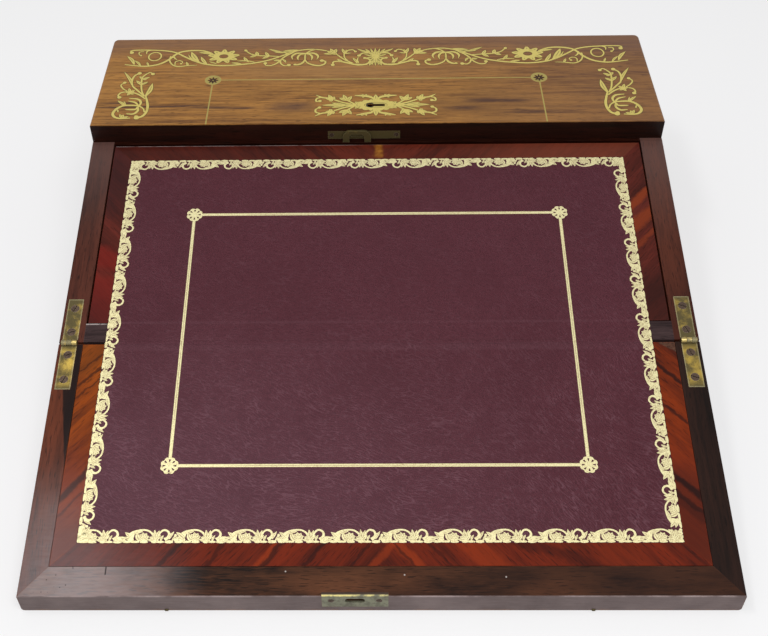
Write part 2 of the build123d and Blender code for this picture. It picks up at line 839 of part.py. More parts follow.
with BuildPart() as lid_fold_rail:
    prism(
        [
            (lid_fold_y, veneer),
            (lid_rear_y, veneer),
            (lid_rear_y, slope_z(lid_rear_y, flap_thickness)),
            (lid_fold_y, slope_z(lid_fold_y, flap_thickness)),
        ],
        -inner_x,
        inner_x,
    )
write(lid_fold_rail, "lid_fold_rail")

with BuildPart() as lid_board:
    block((-inner_x, lid_front_y, veneer), (inner_x, lid_fold_y, veneer + lid_board_thickness))
write(lid_board, "lid_board")

write(ledges(lid_front_y, lid_fold_y, lid_ledge_depth), "lid_flap_ledges")

with BuildPart() as lid_veneer:
    block((-half_width, lip_y, 0), (half_width, lid_rear_y, veneer))
    add(lid_form.part, mode=Mode.INTERSECT)
    string_inlay(0, lip_y, lid_string_y, Mode.SUBTRACT)
write(lid_veneer, "lid_veneer")

with BuildPart() as lid_string_inlay:
    string_inlay(0, lip_y, lid_string_y, Mode.ADD)
write(lid_string_inlay, "lid_string_inlay")


# ---- pen lid, with its lock ----

with BuildPart() as pen_lid_form:
    block((-half_width, pen_lid_y, shoulder), (half_width, back_y, closed_height))
    rear_uprights = pen_lid_form.edges().filter_by(Axis.Z).group_by(Axis.Y)[-1]
    fillet(rear_uprights, corner_radius)
    top_edges = pen_lid_form.faces().sort_by(Axis.Z)[-1].edges().sort_by(Axis.Y)
    fillet(top_edges[1:], long_edge_radius)
    front_edges = pen_lid_form.edges().filter_by(Axis.X).group_by(Axis.Y)[0]
    fillet(front_edges.sort_by(Axis.Z)[-1], arris)

core_top = closed_height - veneer
cavity_half = bolt_thickness / 2 + bolt_play
case_half_height = selvedge_height / 2
case_low_z = bolt_z - case_half_height
case_high_z = bolt_z + case_half_height
case_low = (selvedge_x - lock_case_width / 2, pen_lid_y, case_low_z)
case_high = (selvedge_x + lock_case_width / 2, pen_lid_y + lock_case_depth, case_high_z)
selvedge_low = (selvedge_x - selvedge_width / 2, pen_lid_y, case_low_z)
selvedge_high = (selvedge_x + selvedge_width / 2, pen_lid_y + selvedge_thickness, case_high_z)
lock_screw_x = (selvedge_width + lock_case_width) / 4
lock_screw_spots = [(selvedge_x - lock_screw_x, bolt_z), (selvedge_x + lock_screw_x, bolt_z)]

with BuildPart() as pen_lid_board:
    block((-half_width, pen_lid_y, shoulder), (half_width, back_y, core_top))
    add(pen_lid_form.part, mode=Mode.INTERSECT)
    block(case_low, case_high, Mode.SUBTRACT)
    block(selvedge_low, selvedge_high, Mode.SUBTRACT)
    keyhole(bolt_z)
    screw_forms(lock_seat, lock_screw_spots, small_screw_head, small_screw_length, Mode.SUBTRACT)
    pen_hinge_recess(shoulder, shoulder + leaf_reach, lid_hinge_seat, turned_over_spots)
write(pen_lid_board, "pen_lid_board")

with BuildPart() as keyhole_escutcheon:
    with BuildSketch(Plane.XY.offset(closed_height - inlay_depth)):
        with Locations((0, keyhole_y)):
            SlotOverall(*escutcheon_size)
    extrude(amount=inlay_depth)
    keyhole(core_top)
write(keyhole_escutcheon, "keyhole_escutcheon")

with BuildPart() as pen_lid_veneer:
    block((-half_width, pen_lid_y, core_top), (half_width, back_y, closed_height))
    add(pen_lid_form.part, mode=Mode.INTERSECT)
    string_inlay(closed_height - inlay_depth, pen_lid_y, pen_string_y, Mode.SUBTRACT)
    with BuildSketch(Plane.XY.offset(closed_height - inlay_depth)):
        with Locations((0, keyhole_y)):
            SlotOverall(*escutcheon_size)
    extrude(amount=inlay_depth, mode=Mode.SUBTRACT)
    keyhole(core_top)
write(pen_lid_veneer, "pen_lid_veneer")

with BuildPart() as pen_lid_string_inlay:
    string_inlay(closed_height - inlay_depth, pen_lid_y, pen_string_y, Mode.ADD)
write(pen_lid_string_inlay, "pen_lid_string_inlay")

bolt_front_y = pen_lid_y + bolt_recess
bolt_body_y = pen_lid_y + selvedge_thickness + bolt_throw + lock_wall / 2
bolt_side_x = lock_x + bolt_width / 2 + key_post_radius / 2
with BuildPart() as lock_case:
    block(case_low, case_high)
    block(selvedge_low, selvedge_high)
    block((case_low[0] + lock_wall, pen_lid_y + selvedge_thickness, bolt_z - cavity_half),
          (case_high[0] - lock_wall, case_high[1] - lock_wall, bolt_z + cavity_half),
          Mode.SUBTRACT)
    nose_half = bolt_width / 2 + bolt_play
    block((lock_x - nose_half, pen_lid_y, bolt_z - cavity_half),
          (lock_x + nose_half, pen_lid_y + selvedge_thickness, bolt_z + cavity_half),
          Mode.SUBTRACT)
    keyhole(bolt_z)
    screw_forms(lock_seat, lock_screw_spots, small_screw_head, small_screw_length, Mode.SUBTRACT)
write(lock_case, "lock_case")

with BuildPart() as lock_bolt:
    bolt_low_z = bolt_z - bolt_thickness / 2
    bolt_high_z = bolt_z + bolt_thickness / 2
    block((lock_x - bolt_width / 2, bolt_front_y, bolt_low_z),
          (lock_x + bolt_width / 2, bolt_body_y, bolt_high_z))
    block((bolt_side_x - bolt_body[0], bolt_body_y, bolt_low_z),
          (bolt_side_x, bolt_body_y + bolt_body[1], bolt_high_z))
    with BuildSketch(Plane.XY.offset(bolt_low_z)):
        with Locations((bolt_side_x, bolt_body_y + bolt_body[1] / 2)):
            Circle(key_bit_sweep)
    extrude(amount=bolt_thickness, mode=Mode.SUBTRACT)
write(lock_bolt, "lock_bolt")

with BuildPart() as lock_key_post:
    with BuildSketch(Plane.XY.offset(bolt_z - cavity_half)):
        with Locations((keyhole_x, keyhole_y)):
            Circle(key_post_radius)
    extrude(amount=2 * cavity_half)
write(lock_key_post, "lock_key_post")

lock_screws = screws(lock_seat, lock_screw_spots, small_screw_head, small_screw_length)
write(lock_screws, "lock_screws")
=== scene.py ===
import json
from math import ceil, cos, pi, radians, sin

import bmesh
import bpy
from bpy.props import (
    FloatProperty,
    FloatVectorProperty,
    PointerProperty,
)
from mathutils import Matrix, Vector, noise


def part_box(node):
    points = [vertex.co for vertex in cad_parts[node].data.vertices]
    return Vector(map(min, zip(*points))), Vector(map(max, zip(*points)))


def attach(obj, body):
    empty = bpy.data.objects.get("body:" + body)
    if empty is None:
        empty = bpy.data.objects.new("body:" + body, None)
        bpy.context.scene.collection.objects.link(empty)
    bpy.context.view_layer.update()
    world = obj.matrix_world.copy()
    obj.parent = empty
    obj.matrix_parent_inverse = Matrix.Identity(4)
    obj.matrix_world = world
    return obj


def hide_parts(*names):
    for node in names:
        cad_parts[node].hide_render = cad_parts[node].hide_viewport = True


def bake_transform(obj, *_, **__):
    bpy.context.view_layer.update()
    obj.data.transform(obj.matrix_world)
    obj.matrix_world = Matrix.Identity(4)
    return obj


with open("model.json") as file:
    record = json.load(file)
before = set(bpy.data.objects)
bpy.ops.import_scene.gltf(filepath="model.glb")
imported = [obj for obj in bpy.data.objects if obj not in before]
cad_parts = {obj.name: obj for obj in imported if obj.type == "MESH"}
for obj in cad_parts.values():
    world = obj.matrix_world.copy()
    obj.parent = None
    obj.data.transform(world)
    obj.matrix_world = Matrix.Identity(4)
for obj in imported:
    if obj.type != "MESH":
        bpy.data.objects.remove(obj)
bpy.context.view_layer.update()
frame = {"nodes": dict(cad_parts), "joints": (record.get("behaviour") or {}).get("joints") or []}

bl_info = {
    "name": "Writing slope",
    "version": (1, 0, 0),
    "blender": (4, 5, 0),
    "location": "3D View > Sidebar > Slope",
    "description": "Polished wood, brass inlay, leather and gold tooling for a writing slope",
    "category": "Add Mesh",
}

# The model is in metres, X to the writer's right, Y away from the writer and Z up. Ornament is
# drawn in millimetres. A place on the slope is an X, a run, which is measured along the slope from
# the fold and away from the writer, and a lift square to it.

MM = 0.001

joints = {joint["name"]: joint for joint in frame["joints"]}
front_hinge_line = Vector(joints["front_flap_lift"]["pos_m"])
rear_hinge_line = Vector(joints["rear_flap_lift"]["pos_m"])
UPHILL = (rear_hinge_line - front_hinge_line).normalized()
OUTWARD = Vector((1, 0, 0)).cross(UPHILL)
fold_line = Vector(joints["writing_lid_fold"]["pos_m"])
FOLD = fold_line + OUTWARD * (front_hinge_line - fold_line).dot(OUTWARD)
PANEL_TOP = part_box("pen_lid_veneer")[1].z
PANEL_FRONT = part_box("pen_lid_veneer")[0].y
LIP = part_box("lid_veneer")[0].y
ACROSS = Vector((1, 0, 0))
BACKWARD = Vector((0, 1, 0))
UP = Vector((0, 0, 1))
HINGE_X = 0.19325            # middle of a strap hinge
LEAF_RUN = 0.017             # from the fold to the middle of its leaf
STRING_X = 118.6             # brass strings, in millimetres
REAR_BEND = 1.2 * MM         # the gold tooling gets extra edges this far to each side of the rear crease
LAYERS = 64                  # overlapping shapes lie on this many levels, so no two faces meet
LAYER_STEP = 0.0006 * MM
INK_HALF = 17.6 * MM
INK_DEPTH = 19 * MM
INK_FLOOR = 3.2 * MM         # glass under the ink


def on_slope(x, run, lift=0.0):
    """A point in metres from an X, run and lift in metres."""
    return FOLD + ACROSS * x + UPHILL * run + OUTWARD * lift


def slope_span(node):
    """The lowest and highest X, run and lift of a CAD node, in metres."""
    places = [vertex.co - FOLD for vertex in frame["nodes"][node].data.vertices]
    spans = []
    for way in (ACROSS, UPHILL, OUTWARD):
        reach = [place.dot(way) for place in places]
        spans.append((min(reach), max(reach)))
    return spans


def linear(red, green, blue):
    """A colour from its display values, 0 to 255."""
    return tuple(
        level / 12.92 if level <= 0.04045 else ((level + 0.055) / 1.055) ** 2.4
        for level in (red / 255, green / 255, blue / 255)
    )


def colour_setting(name, description, *display):
    """A colour property with its default given as display values."""
    return FloatVectorProperty(name=name, description=description, subtype="COLOR", size=3,
                               min=0, max=1, default=linear(*display))


def length_setting(name, description, millimetres):
    """A length property with its default in millimetres."""
    return FloatProperty(name=name, description=description, unit="LENGTH", min=0,
                         default=millimetres * MM, precision=5)


# ---- settings ----

class SlopeTimber(bpy.types.PropertyGroup):
    """Colours of the woods"""
    panel_dark: colour_setting("Panel dark", "Dark figure of the panel", 90, 56, 32)
    panel_light: colour_setting("Panel light", "Light figure of the panel", 178, 126, 64)
    rosewood_dark: colour_setting("Rosewood dark", "Dark figure of the rails", 34, 18, 15)
    rosewood_light: colour_setting("Rosewood light", "Light figure of the rails", 98, 58, 44)
    ebony_dark: colour_setting("Ebonised dark", "Darkest wood", 17, 6, 3)
    ebony_light: colour_setting("Ebonised light", "Its lighter grain", 46, 17, 9)
    banding_dark: colour_setting("Banding dark", "Dark stripes of the banding", 48, 15, 9)
    banding_light: colour_setting("Banding light", "Bright stripes", 158, 72, 14)
    old_red: colour_setting("Rear banding", "Bright stripes of the rear flap's banding", 104, 40, 30)
    mahogany_dark: colour_setting("Mahogany dark", "Dark grain inside the box", 82, 42, 26)
    mahogany_light: colour_setting("Mahogany light", "Light grain inside the box", 148, 84, 50)


class SlopeMetal(bpy.types.PropertyGroup):
    """Colours of brass, gold leaf and screws, and sizes of the inlay"""
    brass: colour_setting("Brass", "Clean brass", 172, 146, 70)
    inlay: colour_setting("Inlay", "Brass of the inlay, paler than the fittings", 206, 188, 100)
    tarnish: colour_setting("Tarnish", "Brass dulled by age", 84, 74, 42)
    screw: colour_setting("Screw", "Darkened screw heads", 86, 70, 58)
    gold: colour_setting("Gold leaf", "Gold of the tooling", 226, 218, 168)
    mastic: colour_setting("Mastic", "Filler round the inlay", 62, 40, 26)
    inlay_lift: length_setting("Inlay lift", "How far the inlay stands above the wood", 0.04)
    mastic_rim: length_setting("Mastic rim", "Filler showing round the inlay", 0.28)


class SlopeLeather(bpy.types.PropertyGroup):
    """The skin and its tooling"""
    dye: colour_setting("Dye", "Colour of the skin", 88, 40, 50)
    dye_dark: colour_setting("Dye in the grain", "Colour between the grain", 64, 25, 34)
    border_width: length_setting("Border", "Width of the tooled border", 8.2)
    border_repeat: length_setting("Repeat", "Length of one repeat of the border", 58.4)
    rule_x: length_setting("Rule half width", "From the middle to the inner rule", 122.6)
    rule_front: FloatProperty(name="Rule front", description="Run of the front rule",
                              unit="LENGTH", default=-83.9 * MM)
    rule_rear: FloatProperty(name="Rule rear", description="Run of the rear rule",
                             unit="LENGTH", default=100.4 * MM)
    rosette: length_setting("Rosette", "Radius of a corner rosette", 5.4)


class SlopeStage(bpy.types.PropertyGroup):
    """Floor, lamps and camera"""
    floor: colour_setting("Floor", "Colour of the floor", 251, 251, 252)
    ambient: FloatProperty(name="Ambient", description="Level of the room's light", default=0.42)
    window: FloatProperty(name="Window", description="Power of the window lamp", unit="POWER",
                          default=4.0)
    overhead: FloatProperty(name="Overhead", description="Power of the lamp over the writer",
                            unit="POWER", default=14.0)
    camera_at: FloatVectorProperty(name="Camera", description="Place of the camera",
                                   subtype="TRANSLATION", size=3,
                                   default=(-2.8 * MM, -535.75 * MM, 557.5 * MM))
    pitch: FloatProperty(name="Pitch", description="How far the camera looks down",
                         subtype="ANGLE", default=radians(45.5))
    yaw: FloatProperty(name="Yaw", description="Camera's turn about the upright",
                       subtype="ANGLE", default=radians(-1.51))
    roll: FloatProperty(name="Roll", description="Camera's turn about its own axis",
                        subtype="ANGLE", default=radians(-1.36))
    lens: FloatProperty(name="Lens", description="Focal length", subtype="DISTANCE_CAMERA",
                        default=52.32)
    shift: FloatVectorProperty(name="Shift", description="Lens shift", size=2,
                               default=(0.0413, -0.001))


# ---- materials: numbers and colours on their way through the nodes ----

class Value:
    """A number in a material. Arithmetic on it adds Math nodes."""

    def __init__(self, finish, socket):
        self.finish = finish
        self.socket = socket

    def __add__(self, other):
        return self.finish.maths("ADD", self, other)

    def __radd__(self, other):
        return self.finish.maths("ADD", other, self)

    def __sub__(self, other):
        return self.finish.maths("SUBTRACT", self, other)

    def __rsub__(self, other):
        return self.finish.maths("SUBTRACT", other, self)

    def __mul__(self, other):
        return self.finish.maths("MULTIPLY", self, other)

    def __rmul__(self, other):
        return self.finish.maths("MULTIPLY", other, self)

    def __abs__(self):
        return self.finish.maths("ABSOLUTE", self)


class Finish:
    """A material, or the room's light, while its nodes are being joined up."""

    def __init__(self, name, holder=None):
        self.material = holder or bpy.data.materials.new(name)
        self.material.use_nodes = True
        self.tree = self.material.node_tree
        self.tree.nodes.clear()
        self.coordinates = {}

    def node(self, kind, settings=None, sockets=None, output=0):
        """Adds a node: its settings first, then its sockets' values or links."""
        made = self.tree.nodes.new(kind)
        for name, setting in (settings or {}).items():
            if name == "stops":
                self.set_stops(made.color_ramp, setting)
            else:
                setattr(made, name, setting)
        for name, value in (sockets or {}).items():
            self.feed(made.inputs[name], value)
        return Value(self, made.outputs[output]) if made.outputs else None

    def set_stops(self, ramp, stops):
        """Fills a colour ramp from pairs of a place and a colour."""
        while len(ramp.elements) < len(stops):
            ramp.elements.new(0.5)
        for element, (place, colour) in zip(ramp.elements, stops):
            element.position = place
            element.color = (*colour, 1)

    def feed(self, socket, value):
        """Links a value to a socket, or sets the socket to a plain number or colour."""
        if isinstance(value, Value):
            self.tree.links.new(value.socket, socket)
        elif socket.type == "RGBA":
            socket.default_value = (*value, 1) if len(value) == 3 else value
        else:
            socket.default_value = value

    def maths(self, operation, *numbers):
        return self.node("ShaderNodeMath", {"operation": operation}, dict(enumerate(numbers)))

    def vectors(self, operation, *values, output=0):
        return self.node("ShaderNodeVectorMath", {"operation": operation},
                         dict(enumerate(values)), output)

    def place(self):
        """The place on the piece, in metres, which moves with the piece."""
        if "place" not in self.coordinates:
            self.coordinates["place"] = self.node("ShaderNodeTexCoord", output=3)
        return self.coordinates["place"]

    def along(self, direction, start=(0, 0, 0)):
        """How far a place lies along a direction, in metres, counted from a start."""
        key = (tuple(direction), tuple(start))
        if key not in self.coordinates:
            reach = self.vectors("DOT_PRODUCT", self.place(), tuple(direction), output=1)
            self.coordinates[key] = reach - Vector(direction).dot(Vector(start))
        return self.coordinates[key]

    def run(self):
        """How far up the slope a place lies from the fold, in metres."""
        return self.along(UPHILL, FOLD)

    def join(self, x, y, z):
        return self.node("ShaderNodeCombineXYZ", None, {0: x, 1: y, 2: z})

    def noise(self, vector, scale, detail=2.0, roughness=0.5, distortion=0.0):
        return self.node("ShaderNodeTexNoise", None,
                         {"Vector": vector, "Scale": scale, "Detail": detail,
                          "Roughness": roughness, "Distortion": distortion})

    def seen(self):
        """1 where the camera sees a thing, straight on or in metal or through glass."""
        path = self.node("ShaderNodeLightPath")
        rays = [Value(self, path.socket.node.outputs[ray])
                for ray in ("Is Camera Ray", "Is Glossy Ray", "Is Transmission Ray")]
        return self.maths("MAXIMUM", self.maths("MAXIMUM", rays[0], rays[1]), rays[2])

    def cells(self, vector, scale, feature="F1"):
        return self.node("ShaderNodeTexVoronoi", {"feature": feature},
                         {"Vector": vector, "Scale": scale})

    def step(self, value, low, high):
        """0 below low, 1 above high, and smooth between."""
        return self.node("ShaderNodeMapRange", {"interpolation_type": "SMOOTHSTEP"},
                         {"Value": value, "From Min": low, "From Max": high})

    def below(self, value, low, high):
        """1 below low, 0 above high, and smooth between."""
        return 1 - self.step(value, low, high)

    def ramp(self, value, *stops):
        return self.node("ShaderNodeValToRGB", {"stops": stops}, {"Fac": value})

    def mix(self, factor, first, second, mode="MIX"):
        """Two colours mixed."""
        return self.node("ShaderNodeMix", {"data_type": "RGBA", "blend_type": mode},
                         {0: factor, 6: first, 7: second}, output=2)

    def bump(self, height, depth, strength=1.0):
        """A normal from a height of 0 to 1 and how deep that is in metres."""
        return self.node("ShaderNodeBump", None,
                         {"Height": height, "Distance": depth, "Strength": strength})

    def edge(self, radius):
        """1 along edges and corners, 0 on flat wood."""
        rounded = self.node("ShaderNodeBevel", {"samples": 4}, {"Radius": radius})
        flat = self.node("ShaderNodeNewGeometry", output=1)
        return 1 - self.vectors("DOT_PRODUCT", rounded, flat, output=1)

    def surface(self, **sockets):
        """Ends the material in one shader."""
        named = {name.replace("_", " ").title().replace("Ior", "IOR"): value
                 for name, value in sockets.items()}
        shader = self.node("ShaderNodeBsdfPrincipled", None, named)
        self.node("ShaderNodeOutputMaterial", None, {"Surface": shader})
        return self.material


# ---- wood ----

def across_grain(grain):
    """Two directions square to the grain."""
    side = grain.cross(UP if abs(grain.z) < 0.9 else ACROSS).normalized()
    return side, side.cross(grain)


def wood(name, dark, light, grain, seed=0.0, stretch=9.0, figure=34.0, streaks=0.6,
         fibres=0.3, balance=0.55, matched=False, polish=0.12, sheen=0.05, dullness=0.34,
         marks=()):
    """Polished wood with its figure, streaks, pores and rubbed edges.

    The grain is a direction. Matched wood is mirrored about the middle of the box. The marks are
    functions that each change the colour at a place of their own.
    """
    finish = Finish(name)
    side, depth = across_grain(grain)
    x = finish.along(ACROSS)
    if matched:
        x = abs(x)
    here = finish.join(x, finish.along(BACKWARD), finish.along(UP))

    def reach(way):
        return finish.vectors("DOT_PRODUCT", here, tuple(way), output=1)

    length = reach(grain)
    wide = reach(side)
    thick = reach(depth)
    drift = finish.noise(finish.join(length * (1 / 3), wide, thick + seed), 14.0, 2.0)
    wide = wide + (drift - 0.5) * 0.010

    def stretched(factor, offset=0.0):
        return finish.join(length * (1 / factor) + seed, wide + offset, thick + seed)

    broad = finish.noise(stretched(stretch * 0.6), figure, 3.0, 0.55, 0.4)
    streak = finish.noise(stretched(stretch * 1.8, 0.3), figure * 8, 4.0, 0.62, 0.3)
    fibre = finish.noise(stretched(stretch * 2.5, 0.7), figure * 34, 3.0, 0.6)
    pores = finish.step(finish.noise(stretched(11.0, 1.1), 1500.0, 1.0, 0.4), 0.60, 0.70)

    shade = finish.step(broad, 0.30, 0.70) * balance
    shade = shade + finish.step(streak, 0.28, 0.72) * (1 - balance)
    middle = tuple(a * 0.5 + b * 0.5 for a, b in zip(dark, light))
    colour = finish.ramp(shade, (0.05, dark), (0.5, middle), (0.92, light))
    dark_lines = finish.step(streak, 0.58, 0.74) * finish.step(broad, 0.36, 0.58) * streaks
    colour = finish.mix(dark_lines, colour, tuple(a * 0.5 for a in dark))
    colour = finish.mix(finish.step(fibre, 0.38, 0.75) * fibres, colour,
                        tuple(min(1, b * 1.15) for b in light))
    colour = finish.mix(pores * 0.6, colour, tuple(a * 0.3 for a in dark))
    for mark in marks:
        colour = mark(finish, colour)

    rub = finish.noise(finish.place(), 55.0, 4.0, 0.6)
    worn = finish.step(finish.edge(0.9 * MM), 0.03, 0.25) * finish.step(rub, 0.42, 0.62)
    colour = finish.mix(worn * 0.45, colour, tuple(min(1, b * 1.5 + 0.015) for b in light))
    scratch = finish.noise(finish.join(length * 0.35, wide * 6, thick), 130.0, 2.0, 0.8, 1.2)
    scratches = finish.below(abs(scratch - 0.5), 0.0, 0.006)
    haze = finish.noise(finish.place(), 22.0, 3.0)
    roughness = dullness + haze * 0.18 + worn * 0.2 + scratches * 0.12
    height = fibre * 0.3 - pores * 0.7 - scratches * 0.15
    return finish.surface(
        base_color=colour,
        roughness=roughness,
        specular_ior_level=sheen,
        normal=finish.bump(height, 0.05 * MM, 0.5),
        coat_weight=polish - worn * polish * 0.5,
        coat_roughness=0.14,
        coat_ior=1.45,
    )


def rosewood(name, grain, seed, **changes):
    """The dark wood of the rails."""
    timber = bpy.context.scene.slope_timber
    settings = {"dark": timber.rosewood_dark[:], "light": timber.rosewood_light[:]}
    settings.update(changes)
    return wood(name, grain=grain, seed=seed, **settings)


def paint(finish, *nodes):
    """Gives nodes a material."""
    for node in nodes:
        mesh = frame["nodes"][node].data
        mesh.materials.clear()
        mesh.materials.append(finish)


def slope_marks(stripes, colour):
    """A mark that lays slanting streaks of one colour over a board of the slope.

    Each streak is an X and run in millimetres, its slope as run over X, its half width and its
    strength. The streak's edges waver with the grain.
    """
    def mark(finish, base):
        run = finish.run()
        x = finish.along(ACROSS)
        waver = finish.noise(finish.place(), 60.0, 4.0, 0.65)
        for at_x, at_run, lean, half, strength in stripes:
            away = abs(run - at_run * MM - (x - at_x * MM) * lean + (waver - 0.5) * 0.012)
            base = finish.mix(finish.below(away, half * 0.45 * MM, half * 1.4 * MM) * strength,
                              base, colour)
        return base
    return mark


def slope_top(finish):
    """1 on the sloping faces, 0 on what stands below them."""
    return finish.step(finish.along(OUTWARD, FOLD), -0.0016, -0.0006)


def shift_along(way, start, low, high, colour, strength, top_only=False):
    """A mark that drifts towards a colour between two places along a direction."""
    def mark(finish, base):
        reach = finish.along(way, start)
        drift = finish.noise(finish.place(), 26.0, 3.0)
        share = finish.step(reach + (drift - 0.5) * 0.03, low, high)
        if top_only:
            share = share * slope_top(finish)
        return finish.mix(share * strength, base, colour)
    return mark


def dark_sapwood(finish, colour):
    """The near black streak that tapers away beside the left banding of the lid."""
    inner = slope_span("lid_left_side")[0][1]
    run = finish.run()
    x = finish.along(ACROSS)
    waver = finish.noise(finish.place(), 90.0, 3.0) * 0.0012
    taper = (run + 0.082) * 0.16
    inside = finish.step(x - inner + taper + waver, -0.0002, 0.0008)
    return finish.mix(inside * 0.92, colour, linear(13, 8, 8))


def rail_glint(finish, colour):
    """A painted glint along the rear arris of the cross rail, at its left end."""
    run = finish.run()
    x = finish.along(ACROSS)
    back = slope_span("cross_rail")[1][1]
    line = finish.step(run, back - 0.0014, back - 0.0008) * finish.below(x, -0.176, -0.168)
    ragged = finish.step(finish.noise(finish.place(), 300.0, 3.0), 0.15, 0.45)
    return finish.mix(line * ragged * 0.8, colour, linear(186, 174, 170))


def flap_glint(finish, colour):
    """A painted glint along the back arris of the rear flap, toward the left."""
    behind = finish.along(BACKWARD, (0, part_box("rear_flap_back_band")[1].y, 0))
    line = finish.step(behind, -0.0010, -0.0006) * finish.below(finish.along(ACROSS), -0.05, 0.03)
    ragged = finish.step(finish.noise(finish.place(), 90.0, 4.0, 0.6), 0.25, 0.55)
    return finish.mix(line * ragged * 0.7, colour, linear(170, 158, 156))


def pale_chip(finish, colour):
    """A chip out of the right banding beside the fold, down to the bare ground."""
    run = finish.run()
    x = finish.along(ACROSS)
    ragged = (finish.noise(finish.place(), 420.0, 3.0) - 0.5) * 0.0016
    low = finish.step(run + (x - 0.1777) * 0.62 + ragged, -0.0044, -0.0038)
    near = finish.step(x + ragged, 0.1735, 0.1755)
    grain = finish.noise(finish.place(), 900.0, 2.0)
    bare = finish.ramp(grain, (0.3, linear(58, 34, 26)), (0.7, linear(100, 68, 52)))
    return finish.mix(low * near, colour, bare)


def centre_slip(finish, colour):
    """The lighter slip of veneer in the middle of the rear banding."""
    x = finish.along(ACROSS)
    run = finish.run()
    waver = finish.noise(finish.place(), 160.0, 3.0) * 0.004
    slip = finish.below(abs(x - 0.0015) + waver, 0.0035, 0.0062)
    grain = finish.noise(finish.place(), 260.0, 3.0)
    tan = finish.ramp(grain, (0.3, linear(104, 52, 16)), (0.7, linear(160, 104, 36)))
    return finish.mix(slip * finish.step(run, 0.1475, 0.1515) * 0.9, colour, tan)


def panel_threads(finish, colour):
    """Short dark threads and golden ones along the panel's grain."""
    x = finish.along(ACROSS)
    y = finish.along(BACKWARD)
    drift = (finish.noise(finish.place(), 18.0, 2.0) - 0.5) * 0.008
    thread = finish.noise(finish.join(x * 0.07, y + drift, 0.0), 460.0, 3.0, 0.65)
    patches = finish.noise(finish.join(x * 0.4, y, 5.0), 40.0, 3.0, 0.6)
    dark = finish.step(thread, 0.52, 0.66) * finish.step(patches, 0.36, 0.60)
    golden = finish.below(thread, 0.34, 0.46) * finish.step(patches, 0.40, 0.62)
    colour = finish.mix(dark * 0.5, colour, linear(82, 50, 34))
    return finish.mix(golden * 0.45, colour, linear(186, 138, 72))


def panel_glow(finish, colour):
    """Golden patches in the panel."""
    stretched = finish.vectors("MULTIPLY", finish.place(), (0.35, 1.0, 1.0))
    cloud = finish.noise(stretched, 36.0, 3.0, 0.6, 0.8)
    return finish.mix(finish.step(cloud, 0.45, 0.68) * 0.35, colour, linear(166, 120, 62))


def panel_cloud(x, y, wide, deep, cloud_colour, strength):
    """A mark that lays one soft cloud on the panel, in millimetres from its front's middle."""
    def mark(finish, colour):
        offset = finish.vectors("SUBTRACT", finish.place(), (x * MM, PANEL_FRONT + y * MM, PANEL_TOP))
        squeezed = finish.vectors("MULTIPLY", offset, (1000 / wide, 1000 / deep, 1.0))
        distance = finish.vectors("LENGTH", squeezed, output=1)
        ragged = finish.noise(finish.place(), 60.0, 4.0, 0.6)
        share = finish.below(distance + ragged * 0.8, 0.45, 1.5)
        return finish.mix(share * strength, colour, cloud_colour)
    return mark


def dark_threads(finish, colour):
    """The long dark streaks in the panel's figure."""
    x = finish.along(ACROSS)
    y = finish.along(BACKWARD, (0, PANEL_FRONT, 0))
    waver = finish.noise(finish.join(x * 0.4, y * 0.4, 0.0), 30.0, 3.0) - 0.5
    thread = finish.noise(finish.join(x * 0.5, y * 5, 2.0), 60.0, 3.0, 0.7)
    for low, high, at, half in ((-0.205, -0.115, 0.0215, 0.0010), (-0.140, -0.075, 0.0195, 0.0012),
                                (-0.205, -0.150, 0.0265, 0.0008), (0.040, 0.085, 0.0165, 0.0016),
                                (0.080, 0.150, 0.0120, 0.0014), (0.055, 0.115, 0.0250, 0.0020)):
        inside = finish.step(x, low, low + 0.02) * finish.below(x, high - 0.02, high)
        away = abs(y - at + waver * 0.006)
        line = finish.below(away, half * 0.4, half * 2.2) * inside
        colour = finish.mix(line * finish.step(thread, 0.3, 0.55) * 0.85, colour, linear(70, 46, 40))
    return colour


def window_glare(strength):
    """A mark that lays the window's soft glare over the lid's left front corner."""
    def mark(finish, base):
        x = finish.along(ACROSS)
        run = finish.run()
        cloud = finish.noise(finish.place(), 40.0, 4.0, 0.6)
        away = finish.vectors("DISTANCE", finish.join(x, run, 0.0), (-0.168, -0.157, 0.0), output=1)
        near = finish.below(away + (cloud - 0.5) * 0.03, 0.0, 0.080)
        fine = finish.noise(finish.join(x * 0.2, run, 3.0), 620.0, 3.0, 0.6)
        share = near * (0.6 + fine * 0.8) * slope_top(finish) * strength
        return finish.mix(share, base, linear(116, 116, 120), "SCREEN")
    return mark


def lip_face_sheen(finish, colour):
    """A painted reflection of the pale floor, greyish, on the front of the lip, and a painted
    highlight along its top arris.
    """
    front = finish.along(BACKWARD, (0, LIP, 0))
    cloud = finish.noise(finish.place(), 34.0, 4.0, 0.6)
    fine = finish.noise(finish.join(finish.along(ACROSS) * 0.1, front, finish.along(UP)), 900.0)
    # painted reflection of the floor on the lip's front face
    floor_reflection = finish.ramp(cloud * 0.7 + fine * 0.3, (0.3, linear(98, 84, 83)),
                        (0.7, linear(130, 115, 113)))
    face = finish.below(front, 0.0003, 0.0007)
    colour = finish.mix(face, colour, floor_reflection)
    arris_at = on_slope(0, (LIP - FOLD.y) / UPHILL.y)
    run = finish.along(UPHILL, arris_at)
    lift = finish.along(OUTWARD, FOLD)
    # painted highlight along the lip's top arris
    arris = finish.below(run, 0.0003, 0.0008) * finish.step(lift, -0.0008, -0.0004)
    return finish.mix(arris * finish.step(cloud, 0.35, 0.6) * 0.75, colour, linear(170, 152, 150))


